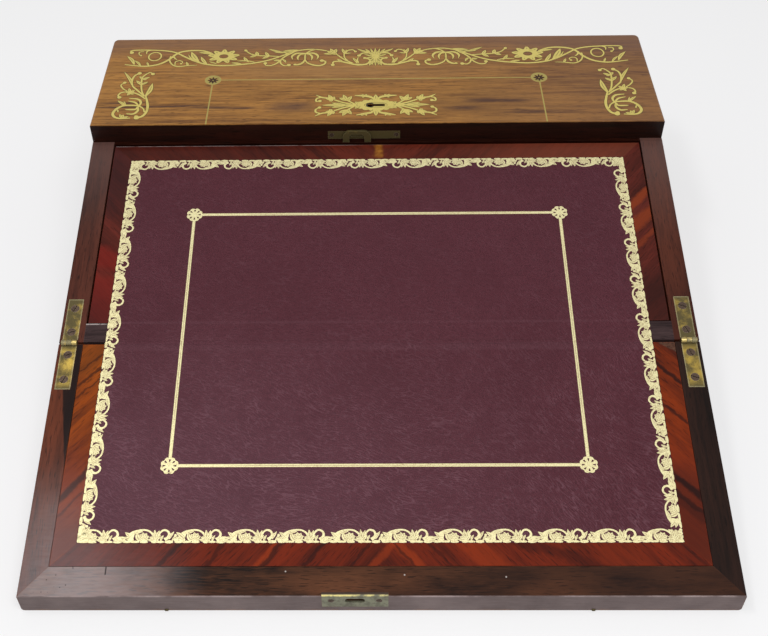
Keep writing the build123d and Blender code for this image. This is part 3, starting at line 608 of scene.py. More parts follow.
def lip_scars(finish, colour):
    """Pits at the left end of the lip rail, a dark nick and a few pale specks."""
    x = finish.along(ACROSS)
    run = finish.run()
    cloud = finish.noise(finish.place(), 40.0, 4.0, 0.6)
    left = finish.below(x, -0.160, -0.100)
    pits = finish.cells(finish.place(), 330.0)
    pit = finish.below(pits, 0.08, 0.16) * finish.step(cloud, 0.52, 0.6)
    colour = finish.mix(pit * left * 0.8, colour, linear(36, 26, 26))
    nick = finish.below(abs(x + 0.1523), 0.0002, 0.0006)
    nick = nick * finish.below(abs(run + 0.1475), 0.0020, 0.0028)
    colour = finish.mix(nick * 0.85, colour, linear(24, 14, 14))
    for at_x, at_run in ((-0.0520, -0.1480), (0.0140, -0.1500), (0.0700, -0.1512)):
        away = finish.vectors("DISTANCE", finish.join(x, run, 0.0), (at_x, at_run, 0.0), output=1)
        colour = finish.mix(finish.below(away, 0.0003, 0.0006) * 0.8, colour,
                            linear(196, 186, 180))
    return colour


class SLOPE_OT_case_wood(bpy.types.Operator):
    """Polish the boards of the base and of the writing lid"""
    bl_idname = "slope.case_wood"
    bl_label = "Case wood"

    def execute(self, context):
        timber = context.scene.slope_timber
        ebony = {"dark": timber.ebony_dark[:], "light": timber.ebony_light[:]}
        # painted sheen: the tops of the base sides turn paler and greyer toward the back
        back_sheen = shift_along(UPHILL, FOLD, 0.070, 0.160, linear(100, 80, 76), 0.5, True)
        dark_fold_end = shift_along(-UPHILL, FOLD, -0.080, -0.010, linear(50, 20, 13), 0.55)
        dark_right_end = shift_along(ACROSS, (0, 0, 0), -0.060, 0.170, linear(34, 17, 13), 0.65)
        paint(rosewood("base_left_rosewood", UPHILL, 3.1, stretch=7.0, light=linear(92, 48, 36),
                       dark=linear(34, 16, 13), marks=(back_sheen,)), "base_left_side")
        paint(rosewood("base_right_rosewood", UPHILL, 3.9, stretch=7.0, light=linear(94, 48, 34),
                       dark=linear(38, 18, 14), marks=(back_sheen, dark_fold_end)),
              "base_right_side")
        paint(rosewood("lid_left_rosewood", UPHILL, 5.4, light=linear(108, 54, 34),
                       dark=linear(46, 22, 15), marks=(dark_sapwood, window_glare(0.6))),
              "lid_left_side")
        paint(rosewood("lid_right_rosewood", UPHILL, 8.9, light=linear(48, 28, 21),
                       dark=linear(9, 5, 4)), "lid_right_side")
        paint(rosewood("lip_rosewood", ACROSS, 2.2, light=linear(102, 62, 40), stretch=4.0,
                       dark=linear(18, 10, 8), balance=0.72,
                       marks=(dark_right_end, window_glare(1.0), lip_scars, lip_face_sheen)),
              "lid_lip_rail")
        paint(wood("cross_rail_rosewood", linear(30, 18, 19), linear(76, 58, 58), ACROSS, seed=4.0,
                   figure=60.0, marks=(rail_glint,)), "cross_rail")
        paint(wood("divider_rosewood", grain=ACROSS, seed=4.6, figure=60.0, **ebony),
              "pen_divider")
        paint(rosewood("back_rosewood", ACROSS, 6.6), "base_back", "base_front", "lid_fold_rail")
        paint(wood("lid_top_rosewood", timber.panel_dark[:], timber.panel_light[:], ACROSS,
                   seed=12.5, marks=(lip_face_sheen,)), "lid_veneer")
        return {"FINISHED"}


class SLOPE_OT_panel_wood(bpy.types.Operator):
    """Polish the figured panel over the pens and ink, and its dark core"""
    bl_idname = "slope.panel_wood"
    bl_label = "Panel wood"

    def execute(self, context):
        timber = context.scene.slope_timber
        right_end = shift_along(ACROSS, (0, 0, 0), 0.03, 0.19, linear(96, 68, 58), 0.5)
        back_strip = shift_along(BACKWARD, (0, PANEL_FRONT, 0), 0.074, 0.104,
                                 linear(116, 86, 72), 0.6)
        blotch = panel_cloud(-60, 20, 25, 10, linear(72, 50, 48), 0.7)
        dim_right = panel_cloud(72, 20, 70, 30, linear(108, 74, 44), 0.5)
        warm_back = panel_cloud(-30, 66, 150, 22, linear(172, 130, 82), 0.45)
        panel = wood("panel_rosewood", timber.panel_dark[:], timber.panel_light[:], ACROSS,
                     seed=1.7, stretch=13.0, figure=52.0, streaks=0.4, fibres=0.5, balance=0.35,
                     marks=(panel_threads, panel_glow, warm_back, dim_right, right_end,
                            back_strip, blotch, dark_threads))
        paint(panel, "pen_lid_veneer")
        core = wood("core_rosewood", timber.ebony_dark[:], timber.ebony_light[:], ACROSS,
                    seed=7.3, polish=0.05, sheen=0.1)
        paint(core, "pen_lid_board")
        return {"FINISHED"}


class SLOPE_OT_banding(bpy.types.Operator):
    """Polish the crossbanding of both flaps"""
    bl_idname = "slope.banding"
    bl_label = "Crossbanding"

    def execute(self, context):
        timber = context.scene.slope_timber
        slant = radians(48)
        rising = ACROSS * cos(slant) + UPHILL * sin(slant)
        falling = -ACROSS * cos(slant) + UPHILL * sin(slant)
        orange = timber.banding_light[:]
        red = timber.old_red[:]
        near_black = linear(30, 10, 8)
        front_left = slope_marks([(-176, -22, 1.0, 1.4, 0.7), (-176, -30, 1.1, 1.0, 0.6),
                                  (-178, -14, 0.9, 0.8, 0.6), (-179, -98, 1.2, 3.6, 0.8),
                                  (-179, -109, 1.2, 1.6, 0.5)], near_black)
        front_right = slope_marks([(177, -22, -1.1, 2.0, 0.85), (177, -49, -1.0, 1.4, 0.7),
                                   (178, -98, -0.9, 3.4, 0.9), (178, -108, -0.9, 2.0, 0.7),
                                   (178, -112, -0.9, 4.0, 0.35)], near_black)
        rear_right = slope_marks([(177, 112, 1.0, 4.0, 0.65), (177, 94, 1.0, 6.0, 0.6),
                                  (177, 78, 1.1, 3.0, 0.4)], linear(140, 58, 24))
        dark_end = shift_along(-UPHILL, FOLD, 0.080, 0.100, linear(56, 20, 14), 0.45)
        rear_left = slope_marks([(-177, 64, -0.5, 9.0, 0.5), (-177, 40, -0.6, 12.0, 0.5),
                                 (-177, 22, -0.6, 8.0, 0.4)], linear(132, 28, 20))
        smoky_back = shift_along(UPHILL, FOLD, 0.085, 0.120, linear(56, 26, 26), 0.7)
        dark_fold_end = shift_along(-UPHILL, FOLD, -0.070, -0.035, linear(42, 16, 12), 0.7)
        back_left = shift_along(-ACROSS, (0, 0, 0), 0.02, 0.14, linear(60, 22, 18), 0.5)
        back_right = shift_along(ACROSS, (0, 0, 0), 0.02, 0.12, linear(124, 62, 44), 0.45)
        lip_glow = slope_marks([(-62, -138, 1.2, 4.0, 0.6), (2, -138, 1.2, 3.0, 0.5),
                                (16, -138, -1.2, 5.0, 0.6), (58, -138, -1.0, 9.0, 0.4),
                                (134, -138, -1.0, 16.0, 0.12)], linear(150, 54, 18))
        lip = slope_marks([(-118, -138, 1.2, 2.4, 0.7), (-92, -138, 1.2, 2.0, 0.6),
                           (-60, -138, 1.2, 2.4, 0.75), (-36, -138, 1.2, 2.0, 0.7),
                           (-10, -138, 1.2, 1.6, 0.6), (14, -138, -1.4, 1.4, 0.6),
                           (34, -138, -1.2, 1.6, 0.5), (98, -138, -0.4, 4.0, 0.45)], near_black)
        toward_lip = shift_along(-UPHILL, FOLD, 0.050, 0.100, linear(112, 38, 16), 0.7)
        corner = shift_along(-UPHILL, FOLD, 0.105, 0.128, linear(84, 38, 30), 0.6)
        left_end = shift_along(-ACROSS, (0, 0, 0), 0.095, 0.165, linear(84, 40, 34), 0.5)
        golden_end = shift_along(UPHILL, FOLD, -0.045, -0.010, linear(160, 88, 20), 0.25)
        dark_left_fold = shift_along(-UPHILL, FOLD, -0.060, -0.015, linear(62, 18, 18), 0.6)
        looks = {
            "front_flap_left_band": (rising, orange, 2.7, False,
                                     (toward_lip, golden_end, corner, front_left,
                                      window_glare(0.25))),
            "front_flap_right_band": (falling, linear(136, 50, 12), 6.3, False,
                                      (toward_lip, dark_end, front_right, pale_chip)),
            "front_flap_lip_band": (falling, linear(120, 38, 14), 4.4, True,
                                    (lip_glow, lip, left_end, window_glare(0.22))),
            "rear_flap_left_band": (falling, red, 1.9, False,
                                    (rear_left, smoky_back, dark_left_fold)),
            "rear_flap_right_band": (rising, red, 3.3, False, (rear_right, dark_fold_end)),
            "rear_flap_back_band": (rising, linear(100, 38, 24), 5.8, True,
                                    (back_left, back_right, centre_slip, flap_glint)),
        }
        for node, (grain, light, seed, matched, marks) in looks.items():
            finish = wood(node + "_veneer", timber.banding_dark[:], light, grain, seed=seed,
                          stretch=6.0, figure=30.0, streaks=0.6, fibres=0.2, matched=matched,
                          marks=marks)
            paint(finish, node)
        return {"FINISHED"}


class SLOPE_OT_inside_wood(bpy.types.Operator):
    """Finish the boards inside the box"""
    bl_idname = "slope.inside_wood"
    bl_label = "Inside wood"

    def execute(self, context):
        timber = context.scene.slope_timber

        def mahogany(name, grain, seed):
            return wood(name, timber.mahogany_dark[:], timber.mahogany_light[:], grain,
                        seed=seed, figure=40.0, polish=0.05, dullness=0.45)

        paint(mahogany("mahogany_across", ACROSS, 9.0), "base_bottom", "well_partitions",
              "pen_tray", "lid_board", "front_flap_board", "rear_flap_board", "well_floors")
        paint(mahogany("mahogany_along", BACKWARD, 9.7), "well_dividers", "pen_tray_ledges",
              "rear_flap_ledges", "lid_flap_ledges")
        return {"FINISHED"}


# ---- flat ornament: stems, leaves, curls and balls, drawn in millimetres ----

def smooth(points, closed=False, step=0.7):
    """Points along a smooth line through the given ones, a step apart or less."""
    count = len(points)
    line = []
    spans = count if closed else count - 1
    for index in range(spans):
        if closed:
            before, here, there, after = (points[(index + k) % count] for k in (-1, 0, 1, 2))
        else:
            here, there = points[index], points[index + 1]
            before = points[index - 1] if index else here * 2 - there
            after = points[index + 2] if index + 2 < count else there * 2 - here
        pieces = max(2, ceil((there - here).length / step))
        for piece in range(pieces):
            t = piece / pieces
            line.append(0.5 * (2 * here + (there - before) * t
                               + (2 * before - 5 * here + 4 * there - after) * t**2
                               + (3 * here - before - 3 * there + after) * t**3))
    if not closed:
        line.append(points[-1])
    return line


def swell(widths, t):
    """A width between three given at the start, the middle and the end."""
    start, middle, end = widths
    if t < 0.5:
        return start + (middle - start) * sin(pi * t)
    return end + (middle - end) * sin(pi * t)


class Drawing:
    """Flat shapes, each a row of left and right points, with a vein down the leaves."""

    def __init__(self, step=0.7, weight=1.0):
        self.shapes = []
        self.step = step
        self.weight = weight

    def stem(self, points, widths, closed=False, vein=False):
        """A ribbon along a smooth line."""
        line = smooth([Vector(point) for point in points], closed, self.step)
        lefts, rights = [], []
        last = len(line) - 1
        for index, point in enumerate(line):
            if closed:
                way = line[(index + 1) % len(line)] - line[index - 1]
            else:
                way = line[min(index + 1, last)] - line[max(index - 1, 0)]
            way.normalize()
            half = swell(widths, index / max(last, 1)) / 2 * self.weight
            aside = Vector((-way.y, way.x)) * half
            lefts.append(point + aside)
            rights.append(point - aside)
        self.shapes.append((lefts, rights, closed, vein))

    def leaf(self, base, tip, width, bend=0.0):
        """A pointed leaf from base to tip, bowed to its left by bend."""
        base, tip = Vector(base), Vector(tip)
        way = tip - base
        aside = Vector((-way.y, way.x)).normalized()
        self.stem([base, base + way * 0.5 + aside * bend, tip], (width * 0.35, width, 0.08),
                  vein=width > 1.4)

    def leaves(self, base, tips, width):
        """Leaves that open out from one base."""
        for tip in tips:
            self.leaf(base, tip, width)

    def ball(self, centre, radius):
        """A round drop."""
        centre = Vector(centre)
        rim = [centre + Vector((cos(a), sin(a))) * radius
               for a in (2 * pi * k / 12 for k in range(12))]
        self.shapes.append((rim, None, True, False))

    def curl(self, points, widths, radius):
        """A stem that ends in a drop."""
        self.stem(points, widths)
        self.ball(points[-1], radius)

    def ring(self, centre, outer, inner, lobes=0, depth=0.0, count=48):
        """A flat ring, with lobes on its outside."""
        centre = Vector(centre)
        lefts, rights = [], []
        for index in range(count):
            angle = 2 * pi * index / count
            way = Vector((cos(angle), sin(angle)))
            reach = depth * abs(sin(lobes * angle / 2)) if lobes else 0.0
            rights.append(centre + Vector((way.x * (outer[0] + reach), way.y * (outer[1] + reach))))
            lefts.append(centre + Vector((way.x * inner[0], way.y * inner[1])))
        self.shapes.append((lefts, rights, True, False))

    def mirrored(self):
        """Adds the same shapes on the other side of the middle."""
        def flip(points):
            return None if points is None else [Vector((-p.x, p.y)) for p in points]
        self.shapes += [(flip(lefts), flip(rights), closed, vein)
                        for lefts, rights, closed, vein in self.shapes]

    def trimmed(self, low, high):
        """The same drawing without the shapes that stand outside two values of X."""
        kept = Drawing(self.step)
        for lefts, rights, closed, vein in self.shapes:
            reach = [p.x for p in lefts + (rights or [])]
            if min(reach) < low - 1 or max(reach) > high + 1:
                continue
            sides = [points and [Vector((min(max(p.x, low), high), p.y)) for p in points]
                     for points in (lefts, rights)]
            kept.shapes.append((*sides, closed, vein))
        return kept

    def placed(self, others, origin, s_way, t_way):
        """Adds another drawing's shapes, moved and turned."""
        def move(points):
            return points and [origin + s_way * p.x + t_way * p.y for p in points]
        self.shapes += [(move(lefts), move(rights), closed, vein)
                        for lefts, rights, closed, vein in others.shapes]


def grown(lefts, rights, rim):
    """A shape made wider all round by a rim, in millimetres."""
    if not rim:
        return lefts, rights
    if rights is None:
        centre = sum(lefts, Vector((0, 0))) / len(lefts)
        return [p + (p - centre).normalized() * rim for p in lefts], None
    asides = [(a - b).normalized() * rim for a, b in zip(lefts, rights)]
    return ([a + way for a, way in zip(lefts, asides)],
            [b - way for b, way in zip(rights, asides)])


def raise_drawing(name, drawing, place, lift, depth, material, rim=0.0):
    """A mesh of a drawing: each shape as a thin bar let into what it lies on.

    The place function turns an X and Y in millimetres and a lift in metres into a point.
    """
    shape_mesh = bmesh.new()
    uv = shape_mesh.loops.layers.uv.new("UVMap")
    for number, (lefts, rights, closed, vein) in enumerate(drawing.shapes):
        top = lift + (number % LAYERS) * LAYER_STEP
        lefts, rights = grown(lefts, rights, rim)
        if rights is None:
            for face in fill_round(shape_mesh, lefts, place, top, depth):
                for loop in face.loops:
                    loop[uv].uv = (0.5, 0.25)
            continue
        rows = [
            [shape_mesh.verts.new(place(p.x, p.y, height)) for p in points]
            for points, height in ((lefts, top - depth), (lefts, top), (rights, top),
                                   (rights, top - depth))
        ]
        steps = len(lefts) if closed else len(lefts) - 1
        for index in range(steps):
            after = (index + 1) % len(lefts)
            for strip in range(4):
                beside = rows[(strip + 1) % 4]
                corner = (rows[strip][index], rows[strip][after], beside[after], beside[index])
                face = shape_mesh.faces.new(corner)
                sides = (0.0, 0.0, 1.0, 1.0) if strip == 1 and vein else (0.25,) * 4
                ends = (index / steps, (index + 1) / steps, (index + 1) / steps, index / steps)
                for loop, u, v in zip(face.loops, ends, sides):
                    loop[uv].uv = (u, v)
        if not closed:
            for end in (0, -1):
                cap = shape_mesh.faces.new([row[end] for row in rows])
                for loop in cap.loops:
                    loop[uv].uv = (0.5, 0.25)
    bmesh.ops.recalc_face_normals(shape_mesh, faces=shape_mesh.faces)
    return finished_piece(name, shape_mesh, material)


def fill_round(shape_mesh, rim, place, top, depth):
    """A round drop as a thin disc."""
    upper = [shape_mesh.verts.new(place(p.x, p.y, top)) for p in rim]
    lower = [shape_mesh.verts.new(place(p.x, p.y, top - depth)) for p in rim]
    faces = [shape_mesh.faces.new(upper), shape_mesh.faces.new(lower)]
    for index in range(len(rim)):
        after = (index + 1) % len(rim)
        faces.append(shape_mesh.faces.new((upper[index], lower[index], lower[after],
                                           upper[after])))
    return faces


def close_rings(name, shape_mesh, rings, material):
    """A piece from rings of corners, joined one to the next and closed at both ends."""
    count = len(rings[0])
    for low, high in zip(rings, rings[1:]):
        for k in range(count):
            after = (k + 1) % count
            shape_mesh.faces.new((low[k], low[after], high[after], high[k]))
    shape_mesh.faces.new(rings[0])
    shape_mesh.faces.new(rings[-1])
    bmesh.ops.recalc_face_normals(shape_mesh, faces=shape_mesh.faces)
    return finished_piece(name, shape_mesh, material, shaded_smooth=True)


def finished_piece(name, shape_mesh, material, shaded_smooth=False):
    """Puts a mesh into the scene as a piece."""
    mesh = bpy.data.meshes.new(name)
    shape_mesh.to_mesh(mesh)
    shape_mesh.free()
    mesh.materials.append(material)
    if shaded_smooth:
        mesh.shade_smooth()
    piece = bpy.data.objects.new(name, mesh)
    bpy.context.scene.collection.objects.link(piece)
    return piece


# ---- brass ----

def shape_lines(finish):
    """How far a place lies along its drawn shape and across it, each from 0 to 1."""
    uv = finish.node("ShaderNodeUVMap", {"uv_map": "UVMap"})
    return [finish.node("ShaderNodeSeparateXYZ", None, {0: uv}, output) for output in (0, 1)]


def inlay_brass():
    """Pale brass of the inlay, with an engraved vein in each large leaf."""
    metal = bpy.context.scene.slope_metal
    finish = Finish("inlay_brass")
    along, across = shape_lines(finish)
    length = finish.step(along, 0.22, 0.35) * finish.below(along, 0.7, 0.85)
    vein = finish.below(abs(across - 0.5), 0.03, 0.09) * length
    vein = finish.maths("MAXIMUM", vein, finish.step(abs(across - 0.5), 0.40, 0.48) * 0.6)
    cloud = finish.noise(finish.place(), 160.0, 4.0, 0.6)
    dull = finish.step(cloud, 0.5, 0.75)
    clean = metal.inlay[:]
    colour = finish.mix(dull * 0.45, clean, tuple(a * 0.62 for a in clean))
    colour = finish.mix(vein * 0.75, colour, metal.tarnish[:])
    rub = finish.noise(finish.place(), 1500.0, 2.0)
    return finish.surface(
        base_color=colour,
        metallic=0.6,
        roughness=0.42 + dull * 0.16 + vein * 0.2,
        normal=finish.bump(rub * 0.3 - vein, 0.03 * MM, 0.5),
    )


def dark_filler():
    """Dark mastic that holds the brass in the wood."""
    finish = Finish("mastic")
    grit = finish.noise(finish.place(), 1200.0, 3.0)
    mastic = bpy.context.scene.slope_metal.mastic[:]
    colour = finish.mix(grit, tuple(a * 0.6 for a in mastic), mastic)
    return finish.surface(base_color=colour, roughness=0.6 + grit * 0.2, specular_ior_level=0.2,
                          normal=finish.bump(grit, 0.02 * MM, 0.5))


def fitting_brass(name, wear=0.5, seed=0.0, leaf_middle=None):
    """Old brass of the fittings: bright where it is rubbed, olive and brown elsewhere.

    A strap hinge's leaf is brightest in its middle, and its outline is rubbed pale.
    """
    metal = bpy.context.scene.slope_metal
    finish = Finish(name)
    moved = finish.vectors("ADD", finish.place(), (seed, seed, seed))
    patches = finish.noise(moved, 130.0, 4.0, 0.55, 0.3)
    specks = finish.noise(moved, 1400.0, 3.0, 0.6)
    old = finish.step(patches + (specks - 0.5) * 0.25, wear - 0.16, wear + 0.22)
    rim = finish.step(finish.edge(0.7 * MM), 0.04, 0.4)
    if leaf_middle is not None:
        away = abs(finish.along(UPHILL, leaf_middle))
        aside = abs(finish.along(ACROSS, leaf_middle))
        ends = finish.step(away + (patches - 0.5) * 0.006, 0.0069, 0.0163)
        knuckle = finish.step(finish.along(OUTWARD, FOLD), 0.0006, 0.0012)
        old = finish.maths("MAXIMUM", old, ends)
        old = old * (1 - knuckle * finish.below(patches, 0.5, 0.6))
        rim = finish.maths("MAXIMUM", finish.step(away, 0.0148, 0.0154),
                           finish.step(aside, 0.0040, 0.0045))
        rim = rim * finish.step(specks, 0.3, 0.5)
    brown = finish.step(specks, 0.58, 0.72)
    colour = finish.mix(old, metal.brass[:], metal.tarnish[:])
    colour = finish.mix(brown * old * 0.5, colour, linear(58, 46, 30))
    colour = finish.mix(rim * 0.45, colour, linear(176, 166, 128))
    lines = finish.noise(finish.vectors("MULTIPLY", moved, (1.0, 12.0, 12.0)), 420.0, 2.0)
    return finish.surface(
        base_color=colour,
        metallic=1 - old * 0.35,
        roughness=0.3 + old * 0.25 + lines * 0.08,
        normal=finish.bump(lines * 0.4 + specks * 0.6, 0.03 * MM, 0.6),
    )


def strike_brass():
    """The strike plate: grey green on its face, yellow where its top edge is rubbed."""
    finish = Finish("strike_brass")
    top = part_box("strike_plate")[1].z
    patches = finish.noise(finish.place(), 260.0, 5.0, 0.6)
    specks = finish.noise(finish.place(), 1500.0, 3.0, 0.6)
    rubbed = finish.step(finish.along(UP) + (patches - 0.5) * 0.0006, top - 0.0007, top - 0.0003)
    grey = finish.mix(finish.step(patches, 0.35, 0.65), linear(100, 98, 82), linear(132, 132, 110))
    grey = finish.mix(finish.step(specks, 0.60, 0.72) * 0.6, grey, linear(70, 66, 46))
    back = finish.along(BACKWARD, (0, LIP, 0))
    grey = finish.mix(rubbed * finish.step(back, 0.0007, 0.0016), grey, linear(50, 34, 24))
    rubbed = rubbed * finish.step(patches, 0.34, 0.56) * finish.below(back, 0.0007, 0.0014)
    colour = finish.mix(rubbed * 0.8, grey, linear(200, 184, 112))
    return finish.surface(
        base_color=colour,
        metallic=0.6 + rubbed * 0.2,
        roughness=0.50 - rubbed * 0.1 + specks * 0.1,
        normal=finish.bump(specks, 0.03 * MM, 0.5),
    )


def old_steel():
    """Screws gone brown, with bright slots."""
    metal = bpy.context.scene.slope_metal
    finish = Finish("screw_steel")
    rust = finish.noise(finish.place(), 900.0, 4.0, 0.65)
    old = finish.step(rust, 0.42, 0.66)
    rim = finish.step(finish.edge(0.25 * MM), 0.06, 0.4)
    colour = finish.mix(old, metal.screw[:], linear(58, 40, 30))
    colour = finish.mix(rim * 0.6, colour, linear(168, 156, 138))
    return finish.surface(
        base_color=colour,
        metallic=0.85 - old * 0.4,
        roughness=0.4 + old * 0.25,
        normal=finish.bump(rust, 0.05 * MM, 0.6),
    )


class SLOPE_OT_fittings(bpy.types.Operator):
    """Finish hinges, lock, staple, strike plate and screws"""
    bl_idname = "slope.fittings"
    bl_label = "Brass fittings"

    def execute(self, context):
        for number, half in enumerate(("base", "lid")):
            for hand, side in (("left", -1), ("right", 1)):
                middle = on_slope(side * HINGE_X, (LEAF_RUN, -LEAF_RUN)[number])
                paint(fitting_brass(f"{hand}_{half}_hinge_brass", (0.36, 0.44)[number],
                                    side + number + 2, middle), f"{hand}_hinge_{half}_leaf")
        paint(fitting_brass("lock_brass", 0.06, 4.4), "lock_case", "lock_bolt", "lock_key_post")
        paint(fitting_brass("staple_brass", 0.26, 5.1), "lock_staple")
        paint(strike_brass(), "strike_plate")
        paint(fitting_brass("butt_brass", 0.5, 7.0), "pen_hinge_base_leaves",
              "pen_hinge_lid_leaves", "pen_hinge_pins", "hinge_pins")
        paint(fitting_brass("cap_brass", 0.6, 8.3), "left_ink_cap", "right_ink_cap")
        paint(old_steel(), "base_hinge_screws", "lid_hinge_screws", "strike_screws",
              "lock_screws", "pen_hinge_base_screws", "pen_hinge_lid_screws")
        return {"FINISHED"}


def border_drawing():
    """The flowering border along the back of the panel: one half, then its mirror image.

    Y is counted from the fold.
    """
    art = Drawing(weight=0.88)
    main = [(-184, 254), (-184.5, 256), (-181, 257), (-172, 257), (-160, 256), (-151, 253.5),
            (-143, 247.5), (-135, 241.5), (-126, 237), (-114, 235), (-101, 236), (-88, 238.6),
            (-78, 242.5), (-69, 248), (-60, 253.5), (-50, 256), (-40, 254.8), (-33, 252)]
    art.stem(main, (1.5, 1.9, 1.4))
    art.ball((-183.6, 253.6), 1.7)
    art.stem([(-186.5, 237.5), (-178, 235.8), (-170, 235), (-161, 237.6), (-154.5, 243.5),
              (-150, 250.5), (-146, 254), (-138, 255.8), (-129, 255), (-122, 251)],
             (1.1, 2.2, 1.6))
    art.leaf((-179.5, 237.5), (-186.5, 249), 3.4, -1.0)
    art.leaf((-174.5, 235.5), (-180, 243), 2.4, -0.5)
    art.leaf((-168.5, 235.6), (-170.5, 240.6), 2.0)
    art.ring((-165.4, 248), (5.3, 6.2), (4.1, 5.0))
    art.stem([(-169, 257), (-172.3, 255.2), (-172.2, 251.5)], (1.2, 1.5, 0.5))
    art.curl([(-174.5, 254.8), (-177.6, 254.4), (-178, 251.6), (-176.2, 249.6)],
             (1.0, 1.2, 0.7), 1.0)
    art.stem([(-151.5, 250), (-150.5, 246), (-148, 243.2)], (1.6, 1.6, 0.4))
    art.stem([(-153.6, 248), (-153.6, 242), (-150.8, 236.6), (-146, 234.2), (-139, 235.4),
              (-132.5, 235.8)], (1.4, 1.5, 0.6))
    art.curl([(-149, 236.4), (-149, 240.4), (-146.2, 242), (-143.6, 240.2), (-144.6, 238)],
             (1.0, 1.2, 0.8), 1.0)
    art.leaf((-139, 235), (-141, 240.4), 2.4)
    art.leaf((-132, 240.8), (-138.6, 254), 4.8, 0.6)
    art.stem([(-140.4, 250), (-137.4, 244.4), (-131, 240)], (0.5, 1.4, 1.4))
    art.leaf((-125, 236.4), (-130.8, 247.4), 3.2, 0.4)
    art.leaf((-122, 250.4), (-133, 253), 3.0, -0.5)
    daisy(art, (-113.6, 247.4), 9, 11.8, 9.4)
    art.leaf((-118, 237.5), (-124, 240.6), 1.8)
    art.leaf((-99, 236.4), (-107.5, 238.6), 2.6, -0.4)
    art.stem([(-103, 241), (-96, 241), (-90, 239.4)], (0.6, 1.6, 0.8))
    # the leafy branch right of the flower
    art.stem([(-72, 246.6), (-80, 247.4), (-88, 248.2), (-93.5, 250.4), (-96.5, 253.6),
              (-98.4, 256.4)], (1.2, 1.5, 0.9))
    art.ball((-97.6, 255.2), 1.3)
    art.leaf((-88, 248), (-89.6, 253.4), 3.6)
    art.leaf((-88.6, 248.6), (-94, 246), 3.2)
    art.leaf((-79.5, 247.4), (-82.6, 252.8), 3.2, 0.4)
    art.leaf((-79.5, 247.2), (-84.6, 243.8), 3.0)
    art.leaf((-94.5, 239.6), (-98.4, 246.4), 3.0, 0.4)
    art.leaf((-69, 252), (-80.6, 257), 2.6, 0.4)
    art.leaf((-66, 251.6), (-76, 252.4), 2.4)
    art.leaf((-58, 255), (-70, 253.6), 3.4)
    art.leaf((-60, 252.6), (-68, 250.4), 2.4)
    # trefoil and its two curls
    art.stem([(-61.5, 251.4), (-66, 248), (-69.6, 243.6), (-71, 240)], (0.8, 1.7, 1.6))
    art.curl([(-70.8, 241), (-73.6, 237), (-77.6, 234.4), (-81.4, 235), (-81.8, 237.6)],
             (1.8, 1.5, 1.0), 1.5)
    art.curl([(-71, 240.6), (-70, 236.6), (-67.4, 234.2), (-64.2, 234.8)], (1.8, 1.5, 1.2), 1.6)
    art.leaf((-71, 241.6), (-76, 241), 2.8)
    art.leaf((-69.6, 243), (-66.4, 237.8), 2.4, 0.5)
    # drooping palmette
    art.stem([(-44.6, 255.6), (-49, 253.6), (-52.2, 250)], (0.8, 1.6, 1.4))
    for side in (-1, 1):
        middle = -52.6
        art.stem([(middle, 250.6), (middle + side * 6.6, 250.4), (middle + side * 9.8, 246.4),
                  (middle + side * 8.8, 241.8)], (1.0, 2.3, 0.3))
        art.stem([(middle, 249.8), (middle + side * 3.6, 248.8), (middle + side * 5.4, 245.2),
                  (middle + side * 4.8, 241)], (0.9, 2.0, 0.3))
    art.leaf((-52.6, 249.8), (-52.4, 240), 1.9)
    art.stem([(-52.6, 242), (-54, 237.8), (-57, 235.4), (-60.8, 235)], (0.8, 2.4, 1.2))
    art.ball((-59.6, 235.4), 1.2)
    art.curl([(-52.4, 242), (-50.6, 237.8), (-46.4, 234.8), (-41.6, 233.8), (-37.8, 235.8),
              (-37.2, 239.2), (-39.8, 240.4)], (1.0, 2.0, 1.4), 1.7)
    # the two palms beside the star
    art.leaves((-30.6, 250), [(-38.8, 249.6), (-34, 256.6), (-29.2, 256.4), (-36.6, 253.6)], 3.4)
    art.ball((-31, 250.6), 2.4)
    art.leaves((-23, 249.4), [(-25, 256.8), (-21.4, 255)], 2.8)
    art.curl([(-22.6, 250), (-20.6, 253.8), (-17, 254.8), (-15, 252.4)], (1.0, 1.5, 1.0), 1.2)
    art.leaf((-22.6, 249.6), (-18, 250.6), 2.0)
    art.stem([(-29.6, 249.6), (-26, 245), (-22, 240.6), (-17, 236.8)], (1.2, 1.5, 1.6))
    art.stem([(-23.4, 251), (-23, 244.6), (-20.4, 239.8)], (1.2, 1.3, 1.2))
    art.curl([(-6, 234.6), (-13, 234.2), (-20, 236.8), (-26.4, 239.2), (-31, 238.6),
              (-31.6, 234.6)], (1.2, 2.2, 1.4), 1.6)
    art.leaf((-24, 238), (-28.6, 242.6), 2.8)
    # double scroll against the star
    art.curl([(-15, 235.4), (-8.4, 234.8), (-4.4, 237.6), (-4.4, 241.4), (-8, 243.4)],
             (1.2, 2.0, 1.4), 1.3)
    art.leaf((-13.6, 236.6), (-17, 244), 2.8, -0.4)
    art.stem([(-12.8, 244.6), (-13.4, 240.6), (-12.4, 237)], (0.6, 1.4, 1.2))
    art.curl([(-5, 250), (-9.4, 250), (-12.2, 246.8)], (1.4, 1.8, 1.3), 1.5)
    art.leaf((-4, 250.6), (-13.8, 256.2), 2.6, 0.5)
    art.leaf((-3.4, 250), (-7.6, 256), 2.2)
    art.leaf((-2, 240), (-4.8, 233), 2.2)
    art.mirrored()
    art.leaf((0, 245), (0, 257), 2.4)
    art.leaf((0, 245), (0, 232.6), 2.2)
    for side in (-1, 1):
        for base, tip, width in (((0.6, 245.6), (3.6, 256.4), 2.2), ((1, 245.4), (6.4, 253.6), 2.2),
                                 ((1.4, 245.2), (8.6, 248.6), 2.0), ((1.4, 244.6), (8.4, 243), 2.0),
                                 ((1, 244.2), (5.4, 238), 1.9), ((0.5, 243.6), (2.7, 233.4), 1.8)):
            art.leaf((side * base[0], base[1]), (side * tip[0], tip[1]), width)
    art.ball((0, 245), 2.7)
    return art


